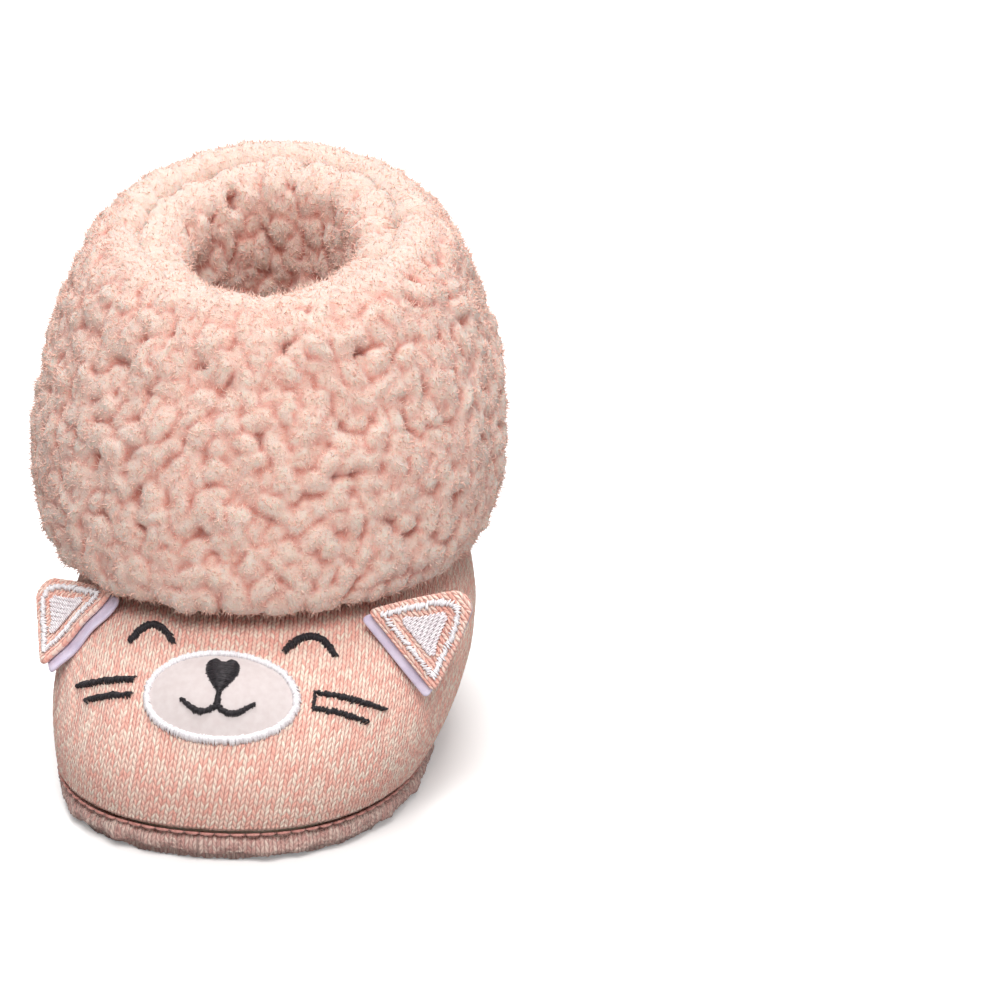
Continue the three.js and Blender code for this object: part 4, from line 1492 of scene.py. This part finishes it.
@dataclass
class Face:
    """The muzzle with its border, and the nose, mouth, eyes and whiskers stitched in thread."""

    sewing: Embroidery
    half_width: float = 11.3
    half_height: float = 6.9
    thick: float = 0.7
    dome: float = 0.8
    border: float = 1.3
    nose_width: float = 5.2
    nose_height: float = 5.8
    nose_up: float = 2.9

    def muzzle(self) -> bpy.types.Object:
        """The oval patch: flat below, and above as high as the dome times 1 - share squared."""
        turn = np.linspace(0, TAU, 120, endpoint=False)[None]
        below, above = np.linspace(0.1, 1.0, 10), np.linspace(1, 0.04, 26)
        share = np.r_[0.0, below, 1.025, 1.03, 1.02, above, 0.0]
        top = self.thick + self.dome * (1 - share**2)
        height = np.where(np.arange(len(share)) <= 10, 0.15, top + 0.1)
        height[11:14] = (0.3, 0.5, 0.7)
        share = share[:, None]
        sideways = share * self.half_width * np.sin(turn)
        climb = -share * self.half_height * np.cos(turn)
        grid = self.sewing.point(sideways, climb, height[:, None] + 0 * turn)
        flat = np.stack([sideways, climb], -1)
        return Piecework().grid(grid, flat, loop=True).build("muzzle_patch_pad", merge=0.01)

    def over_muzzle(self, sideways: Array, climb: Array) -> Array:
        """Height of the muzzle's face over the fabric."""
        share = (sideways / self.half_width) ** 2 + (climb / self.half_height) ** 2
        return 0.1 + self.thick + self.dome * np.clip(1 - share, 0, 1)

    def edge(self) -> bpy.types.Object:
        """Satin all round the muzzle, over its edge and down to the knit."""
        turn = np.linspace(0, TAU, 400)
        wide, tall = self.half_width + 0.5, self.half_height + 0.5
        path = np.stack([wide * np.sin(turn), -tall * np.cos(turn)], -1)
        count = int(line_length(path) / 0.19)
        spots = spaced(path[:-1], count, closed=True)
        way = unit(np.roll(spots, -1, axis=0) - np.roll(spots, 1, axis=0))
        out = np.stack([way[:, 1], -way[:, 0]], -1)
        rng = np.random.default_rng(21)
        outer = spots + out * (self.border / 2 + rng.normal(0, 0.15, count))[:, None]
        inner = spots - out * (self.border / 2 + rng.normal(0, 0.07, count))[:, None] + way * 0.14
        normal = self.sewing.normal(spots[:, 0], spots[:, 1])
        work = Piecework()
        work.tubes(
            *satin(
                self.sewing.point(outer[:, 0], outer[:, 1], 0.3),
                self.sewing.point(inner[:, 0], inner[:, 1], self.thick + 0.15),
                normal,
                0.15,
                0.55,
            )
        )
        return work.build("muzzle_border_stitches")

    def nose(self) -> bpy.types.Object:
        """The heart: threads side by side from its left edge to its right over a low padding.

        Below the lobes' centres the half width is a quarter of a sine wave from the point
        upwards. Above, each lobe is a circle, so a row has two threads where the lobes part.
        """
        rows = np.arange(-self.nose_height / 2 + 0.1, self.nose_height / 2, 0.2)
        lobe, lobe_x, lobe_y = 1.35, 1.25, 1.5
        round_ = np.sqrt(np.clip(lobe**2 - (rows - lobe_y) ** 2, 0, None))
        climb = np.clip((rows + self.nose_height / 2) / (lobe_y + self.nose_height / 2), 0, 1)
        taper = 0.2 + (lobe_x + lobe - 0.2) * np.sin(climb**0.95 * 1.5708)
        wide = np.where(rows > lobe_y, lobe_x + round_, taper)
        gap = np.where(rows > lobe_y, lobe_x - round_, -1.0)
        rng = np.random.default_rng(31)
        whole = gap <= 0
        starts = np.concatenate([-wide[whole], -wide[~whole], gap[~whole]])
        ends = np.concatenate([wide[whole], -gap[~whole], wide[~whole]])
        climbs = np.concatenate([rows[whole], rows[~whole], rows[~whole]]) + self.nose_up
        starts = starts + rng.normal(0, 0.09, len(starts))
        ends = ends + rng.normal(0, 0.09, len(ends))
        tip = climbs + rng.normal(0, 0.05, len(climbs))
        middle = (starts + ends) / 2
        off = self.over_muzzle(middle, climbs) + 0.2
        work = Piecework()
        arch = 0.12 + 0.09 * (ends - starts)
        work.tubes(
            *satin(
                self.sewing.point(starts, climbs, off),
                self.sewing.point(ends, tip, off),
                self.sewing.normal(middle, climbs),
                0.17,
                arch,
                sections=11,
                tuck=0.3,
            )
        )
        inside = np.linspace(-0.46, 0.3, 14)
        pad_wide = np.interp(inside, rows / self.nose_height, wide) - 0.15
        t = np.linspace(-1, 1, 15)
        x = pad_wide[:, None] * t[None]
        y = np.broadcast_to((inside * self.nose_height + self.nose_up)[:, None], x.shape)
        low = self.over_muzzle(x, y) - 0.1
        high = low + 0.28 + (0.1 + 0.12 * pad_wide[:, None]) * (1 - t[None] ** 2)
        shell = np.concatenate(
            [self.sewing.point(x, y, high), self.sewing.point(x, y, low)[:, ::-1]], axis=1
        )
        work.grid(shell, None, loop=True, caps=True)
        return work.build("nose_stitches")

    def mouth(self) -> bpy.types.Object:
        """Two arcs that meet under the nose, as -1.1 times the sine of 3.9 |t|, and the stem."""
        half = 5.6
        top = self.nose_up - self.nose_height / 2 + 0.2
        middle = self.nose_up - self.nose_height / 2 - 0.8 - 1.3
        work = Piecework()
        for side, seed in ((-1, 41), (1, 42)):
            t = np.linspace(0.0, 1.0, 60)
            path = np.stack([side * t * half, middle - 1.1 * np.sin(t * 3.9)], -1)
            width = np.r_[1.05, 1.0, 1.05, 0.95, 0.8, 0.5]
            off = float(self.over_muzzle(np.array(2.8), np.array(middle)))
            self.sewing.run(work, path, width, off + 0.05, 0.3, seed, 0.08)
        stem = np.stack([np.zeros(20), np.linspace(top, middle - 0.1, 20)], -1)
        off = float(self.over_muzzle(np.array(0.0), np.array(middle)))
        self.sewing.run(work, stem, np.r_[0.9, 1.15], off + 0.1, 0.32, 43, 0.07)
        return work.build("mouth_stitches")

    def eye(self, side: int, name: str) -> bpy.types.Object:
        """A closed eye: an arc as high as 3.5 times 1 - t squared."""
        t = np.linspace(-1, 1, 80)
        path = np.stack([side * 12.9 + t * 4.1, 9 + 3.5 * (1 - t * t)], -1)
        work = Piecework()
        width = np.array([0.8, 1.1, 1.15, 1.1, 1.15, 1.1, 0.9]) * 1.08
        self.sewing.run(work, path, width, 0.28, 0.5, 60 + side, 0.1)
        return work.build(f"eye_{name}_stitches")

    def whisker(self, side: int, name: str, level: int) -> bpy.types.Object:
        """One whisker: a nearly straight line that falls a little outwards.

        The lower one on the right has a short line of stitches up to the one above it.
        """
        length, height = ((12.0, 2.4), (9.0, -0.2))[level]
        t = np.linspace(0, 1, 40)
        bow = 0.25 * np.sin(t * math.pi)
        path = np.stack([side * (14.6 + t * length), height - t * 0.6 + bow], -1)
        work = Piecework()
        width = np.array([0.75, 0.95, 1.0, 0.95, 0.9, 0.8, 0.45])
        self.sewing.run(work, path, width, 0.28, 0.45, 70 + side * 2 + level, 0.14, 0.4)
        if side > 0 and level:
            link = np.stack([np.full(12, 14.5), np.linspace(-0.3, 2.5, 12)], -1)
            self.sewing.run(work, link, 0.55, 0.24, 0.3, 79, 0.08)
        return work.build(f"whisker_{name}_{('upper', 'lower')[level]}_stitches")

    def build(self, wardrobe: Wardrobe) -> None:
        """Makes and dresses the face's pieces."""
        dress(self.muzzle(), wardrobe.muzzle, "shoe", "muzzle_fabric", "muzzle_patch")
        dress(self.edge(), wardrobe.white, "shoe", "white_thread", "muzzle_border_thread")
        dress(self.nose(), wardrobe.black, "shoe", "black_thread", "nose_thread")
        dress(self.mouth(), wardrobe.black, "shoe", "black_thread", "mouth_thread")
        for side, name in ((-1, "left"), (1, "right")):
            node = f"eye_{name}_thread"
            dress(self.eye(side, name), wardrobe.black, "shoe", "black_thread", node)
            for level, place in enumerate(("upper", "lower")):
                node = f"whisker_{name}_{place}_thread"
                made = self.whisker(side, name, level)
                dress(made, wardrobe.black, "shoe", "black_thread", node)


# ---- the ears --------------------------------------------------------------------------------


class Side(Enum):
    """The two sides of the face, each with the sign of its x."""

    LEFT = -1
    RIGHT = 1


@dataclass
class Ear:
    """One ear: felt behind, knit in front, a stitched patch and two lines of satin.

    Attributes:
        foot: The foot that it is sewn to.
        side: The side it stands on.
        lift: Degrees that it stands out from the fabric.
        angle: Degrees round the foot to the middle of its seam.
        turn: Degrees that its seam slants.
        width: Its width at the seam.
        length: Its length.
        below_hem: Distance of the seam's upper corner under the cuff's hanging edge.
        stand_off: Distance of its own edge from the fabric.
        tip_radius: Roundness of its tip.
        past: How far from the felt's edge the knit begins.
    """

    foot: Foot
    side: Side
    lift: float
    angle: float = 43.0
    turn: float = 58.0
    width: float = 16.4
    length: float = 15.5
    below_hem: float = 4.55
    stand_off: float = 0.7
    tip_radius: float = 2.6
    past: float = 1.6

    def __post_init__(self) -> None:
        """Finds the ear's own directions on the foot.

        The rise is where the upper corner of the seam lies the set distance under the cuff's
        hanging edge, found by halving. The seam runs across the face at a slant, and the tip
        leans back from straight out by the ear's lift.
        """
        sign = self.side.value
        angle = np.radians(np.array([sign * self.angle]))
        c = np.cos(angle)
        hem = 38 - 5 * c + 0.4 + ((0.3 + 2.6 * (c + 1) / 2) - 0.4) * c * c
        climb_to = self.width / 2 * math.sin(math.radians(self.turn))
        low, high = np.zeros(1), np.ones(1)
        for _ in range(24):
            rise = (low + high) / 2
            climb = unit(self.foot.slopes(angle, rise)[1])
            corner = self.foot.upper_point(angle, rise)[:, 2] + climb_to * climb[:, 2]
            under = corner < hem - self.below_hem
            low, high = np.where(under, rise, low), np.where(under, high, rise)
        round_, climb = (unit(way)[0] for way in self.foot.slopes(angle, low))
        out = self.foot.normal(angle, low)[0]
        slant, lean = math.radians(self.turn), math.radians(self.lift)
        self.origin = self.foot.upper_point(angle, low)[0]
        self.along = unit(climb * (-sign * math.sin(slant)) + round_ * math.cos(slant))
        behind = unit(np.cross(out, self.along))
        self.tip = behind * math.cos(lean) + out * math.sin(lean)
        self.front = unit(np.cross(self.along, self.tip))

    def place(self, x: Array, y: Array, z: Array) -> Array:
        """Point of the ear from its own coordinates, gently cupped and waved at its seam."""
        x, y, z = np.broadcast_arrays(x, y, z)
        wave = 0.28 * np.sin(x * 0.75 + 0.6) * np.exp(-y / 3.5)
        cup = -0.35 * np.sin(np.clip(y / self.length, 0, 1) * math.pi) + 0.004 * x * x
        z = z + wave + cup
        return (
            self.origin
            + x[..., None] * self.along
            + (y + self.stand_off)[..., None] * self.tip
            + z[..., None] * self.front
        )

    def outline(self, inset: float, base: float, count: int = 150) -> Array:
        """A triangle with a round tip, standing on its seam edge, smaller by the inset.

        It's drawn by six quadratic curves, (1 - t)^2 a + 2 t (1 - t) b + t^2 c.
        """
        half = self.width / 2 - inset * 1.2
        top = self.length - inset * 1.3
        radius = max(self.tip_radius - inset * 0.5, 0.6)
        foot = 1.2
        mirror = np.array([-1.0, 1.0])
        ends = np.array(
            [
                (half - foot, base),
                (half - foot * 0.3, base + foot),
                (radius * 0.8, top - radius * 0.5),
            ]
        )
        bends = np.array(
            [(0.0, base), (half, base), (half * 0.62, top * 0.6), (0.0, top + radius * 0.2)]
        )
        ends = np.concatenate([ends[:1] * mirror, ends, ends[::-1] * mirror])[:, None]
        bends = np.concatenate([bends, bends[2:0:-1] * mirror])[:, None]
        t = np.linspace(0, 1, 30, endpoint=False)[:, None]
        bows = (1 - t) ** 2 * ends[:-1] + 2 * t * (1 - t) * bends + t * t * ends[1:]
        return spaced(bows.reshape(-1, 2), count, closed=True)

    def slab(
        self, name: str, outline: Array, low: float, high: float, rings: int, stitch: float = 0.0
    ) -> bpy.types.Object:
        """A soft slab of that outline.

        Rings shrink towards the outline's middle on both faces, and the edge between the two
        faces is a half circle.

        Args:
            name: Name of the piece.
            outline: Outline in the ear's own coordinates.
            low: Height of the back face.
            high: Height of the front face.
            rings: Rings on the front face.
            stitch: Height of the knitting on the front face.

        Returns:
            The slab.
        """
        middle = (outline.min(0) + outline.max(0)) / 2
        reach = np.linalg.norm(outline - middle, axis=1).mean()
        half = (high - low) / 2
        turn = np.linspace(-math.pi / 2, math.pi / 2, 9)
        edge = 1 - half / reach * (1 - np.cos(turn))
        back = np.linspace(0.0, 1 - half / reach - 0.02, 10)
        front = np.linspace(1 - half / reach - 0.01, 0.0, rings)
        share = np.concatenate([back, edge, front])[:, None]
        side = low + half + half * np.sin(turn)
        level = np.concatenate([np.full(len(back), low), side, np.full(rings, high)])
        x = middle[0] + (outline[None, :, 0] - middle[0]) * share
        y = middle[1] + (outline[None, :, 1] - middle[1]) * share
        z = level[:, None] + 0 * x
        if stitch:
            face = (np.arange(len(level)) > 12)[:, None]
            z = z + face * stitch * (stitch_height(y, x) - 0.3)
        flat = np.stack([y, x], -1) if stitch else np.stack([x, y], -1)
        return Piecework().grid(self.place(x, y, z), flat, loop=True).build(name, merge=0.01)

    def line(self, work: Piecework, path: Array, width: float, height: float, seed: int) -> None:
        """Adds satin stitches across a path on the ear's front."""
        rng = np.random.default_rng(seed)
        spots, first, last = crossing(path, width, 0.24, 0.3, 0.17, rng)
        z = height + rng.normal(0, 0.03, len(spots))
        normal = np.tile(self.front, (len(spots), 1))
        ends = self.place(first[:, 0], first[:, 1], z), self.place(last[:, 0], last[:, 1], z)
        work.tubes(*satin(*ends, normal, 0.14, 0.3, tuck=0.2))

    def patch(self, outline: Array, height: float, seed: int) -> Piecework:
        """Rows of short threads laid end to end, each row 0.37 of a thread on from the last."""
        rng, thread = np.random.default_rng(seed), 1.7
        low, high = outline[:, 0].min(), outline[:, 0].max()
        columns = np.arange(low + 0.15, high, 0.3)
        starts, ends = [], []
        for number, x in enumerate(columns):
            crossing = np.diff(np.sign(outline[:, 0] - x)) != 0
            span = outline[:-1, 1][crossing]
            if len(span) < 2:
                continue
            cuts = np.arange(span.min() - thread * ((number * 0.37) % 1), span.max(), thread)
            cuts = np.clip(np.r_[cuts, span.max()], span.min(), span.max())
            cuts = np.unique(np.round(cuts, 3))
            starts.append(np.stack([np.full(len(cuts) - 1, x), cuts[:-1]], -1))
            ends.append(np.stack([np.full(len(cuts) - 1, x), cuts[1:]], -1))
        start, end = np.concatenate(starts), np.concatenate(ends)
        keep = end[:, 1] - start[:, 1] > 0.25
        start, end = start[keep], end[keep]
        z = height + rng.normal(0, 0.025, len(start))
        normal = np.tile(self.front, (len(start), 1))
        work = Piecework()
        first = self.place(start[:, 0], start[:, 1], z)
        last = self.place(end[:, 0], end[:, 1], z)
        work.tubes(*satin(first, last, normal, 0.17, 0.12, tuck=0.1))
        return work

    def build(self, wardrobe: Wardrobe) -> None:
        """Makes and dresses the ear's pieces, which all ride on its own body."""
        name = self.side.name.lower()
        body = f"ear_{name}"
        felt = self.slab(f"{body}_felt_backing", self.outline(0, 0), 0.0, 0.8, 16)
        dress(felt, wardrobe.felt, body, "lilac_felt", f"{body}_felt")
        knit = self.outline(0, self.past, 300)
        knit = self.slab(f"{body}_knit_front", knit, 1.05, 2.2, 46, 0.3)
        dress(knit, wardrobe.ear_knit, body, "marled_knit", f"{body}_knit")
        outline = self.outline(3.5, self.past + 3.0)
        patch = self.patch(outline, 2.6, 80 + self.side.value)
        patch = patch.build(f"{body}_inner_patch_threads")
        dress(patch, wardrobe.silver, body, "silver_thread", f"{body}_inner_patch")
        half, top = self.width / 2 - 1.9, self.length - 2.2
        shoulder = (half * 0.62, top * 0.6)
        corners = np.array(
            [
                (-half, self.past + 1.3),
                (-shoulder[0], shoulder[1]),
                (-1.2, top - 0.6),
                (1.2, top - 0.6),
                shoulder,
                (half, self.past + 1.3),
            ]
        )
        work = Piecework()
        self.line(work, chaikin(corners, 3, closed=False), 0.9, 2.5, 90 + self.side.value)
        edge = work.build(f"{body}_edge_stitches")
        dress(edge, wardrobe.white, body, "white_thread", f"{body}_edge_thread")
        reach = half - 0.1
        work = Piecework()
        base = np.stack([np.linspace(-reach, reach, 40), np.full(40, self.past + 1.5)], -1)
        self.line(work, base, 0.8, 2.5, 95 + self.side.value)
        base = work.build(f"{body}_base_stitches")
        dress(base, wardrobe.white, body, "white_thread", f"{body}_base_thread")


# ---- studio ----------------------------------------------------------------------------------


def placed(side: Array, top: Array, back: Array, spot: Array | tuple) -> Matrix:
    """The matrix with those three axes and that place."""
    rows = np.eye(4)
    rows[:3] = np.stack([side, top, back, spot], axis=1)
    return Matrix(rows.tolist())


@dataclass(frozen=True)
class Studio:
    """A pale floor, soft light and the camera.

    Attributes:
        elevation: Degrees that the camera stands above the bootie.
        azimuth: Degrees that it stands round it.
        roll: Degrees that it's tilted.
        distance: Its distance.
        lens: Its focal length.
        sideways: How far to the side of the bootie's axis it looks.
        down: How far below the middle height.
        height: The middle height.
    """

    elevation: float = 20.0
    azimuth: float = 8.0
    roll: float = -1.0
    distance: float = 700.0
    lens: float = 156.2
    sideways: float = 38.4
    down: float = 3.06
    height: float = 45.0

    def camera(self) -> None:
        """Places the camera on a line back from the point that it looks at."""
        e, a, r = (math.radians(v) for v in (self.elevation, self.azimuth, self.roll))
        back = np.array([math.sin(a) * math.cos(e), -math.cos(a) * math.cos(e), math.sin(e)])
        right = np.array([math.cos(a), math.sin(a), 0.0])
        up = np.cross(back, right)
        side = right * math.cos(r) - up * math.sin(r)
        top = right * math.sin(r) + up * math.cos(r)
        aim = np.array([0.0, 0.0, self.height]) + side * self.sideways - top * self.down
        data = bpy.data.cameras.new("camera")
        data.lens = self.lens
        data.sensor_width = 36.0
        data.clip_start, data.clip_end = 0.01, 10.0
        camera = shown("camera", data)
        camera.matrix_world = placed(side, top, back, (aim + back * self.distance) * MM)
        bpy.context.scene.camera = camera

    def floor(self) -> None:
        """A wide pale floor that curves up behind into a wall."""
        bend, turn = 400, np.linspace(0.1, 1.57, 12)
        flat = np.linspace(-1500, 900, 20)
        along = np.r_[flat, flat[-1] + bend * np.sin(turn), 1301]
        rise = np.r_[np.zeros(len(flat)), bend * (1 - np.cos(turn)), 1800]
        x = np.linspace(-1800, 1800, 12)
        grid = np.stack(np.broadcast_arrays(x[:, None], along[None], rise[None]), -1)
        floor = Piecework().grid(grid).build("floor")
        floor.data.flip_normals()
        material = bpy.data.materials.new("studio_paper")
        material.use_nodes = True
        pen = Pen(material.node_tree)
        shader = material.node_tree.nodes["Principled BSDF"]
        shader.inputs["Roughness"].default_value = 0.95
        shader.inputs["Specular IOR Level"].default_value = 0.0
        seen = pen.node("ShaderNodeLightPath").outputs["Is Camera Ray"]
        paper = pen.mix(seen, (0.4, 0.39, 0.39, 1.0), (1.0, 1.0, 1.0, 1.0))
        shader.inputs["Emission Strength"].default_value = 0.2
        glow = pen.mix(seen, (0.0, 0.0, 0.0, 1.0), (1.0, 1.0, 1.0, 1.0))
        pen.tree.links.new(glow, shader.inputs["Emission Color"])
        pen.tree.links.new(paper, shader.inputs["Base Color"])
        floor.data.materials.append(material)

    @staticmethod
    def lamp(name: str, spot: tuple, size: float, power: float, tone: tuple) -> None:
        """A square soft light that looks at the middle of the bootie."""
        data = bpy.data.lights.new(name, "AREA")
        data.size = size
        data.energy = power
        data.color = tone
        back = unit(np.array(spot) - np.array([0, 0, 0.04]))
        side = unit(np.cross(np.array([0.0, 0.0, 1.0]), back))
        shown(name, data).matrix_world = placed(side, np.cross(back, side), back, spot)

    def build(self) -> None:
        """Sets up floor, world, lights and camera."""
        self.floor()
        world = bpy.data.worlds.new("soft_room")
        bpy.context.scene.world = world
        world.use_nodes = True
        world.node_tree.nodes["Background"].inputs[0].default_value = (1.0, 1.0, 1.0, 1.0)
        world.node_tree.nodes["Background"].inputs[1].default_value = 0.24
        self.lamp("key", (0.08, -0.75, 0.95), 0.6, 10.6, (1.0, 0.985, 0.97))
        self.lamp("fill", (0.85, -0.5, 0.25), 0.6, 2.2, (1.0, 0.99, 0.98))
        self.lamp("top", (-0.1, 0.25, 1.2), 0.7, 12.0, (1.0, 0.99, 0.98))
        self.camera()
        bpy.context.scene.view_settings.view_transform = "Standard"


def main(nodes: list[str]) -> None:
    """Builds the bootie from the sole up, then the studio, given the frame's node names."""
    wardrobe = Wardrobe()
    foot = Foot()
    Sole(foot).build(wardrobe, nodes)
    Upper(foot).build(wardrobe)
    Face(Embroidery(foot)).build(wardrobe)
    Ear(foot, Side.LEFT, 9.0).build(wardrobe)
    Ear(foot, Side.RIGHT, 43.0).build(wardrobe)
    Cuff().build(wardrobe)
    Studio().build()


if __name__ == "__main__":
    logging.basicConfig(level=logging.INFO, format="%(name)s: %(message)s")
    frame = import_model()
    main(list(frame["nodes"]))
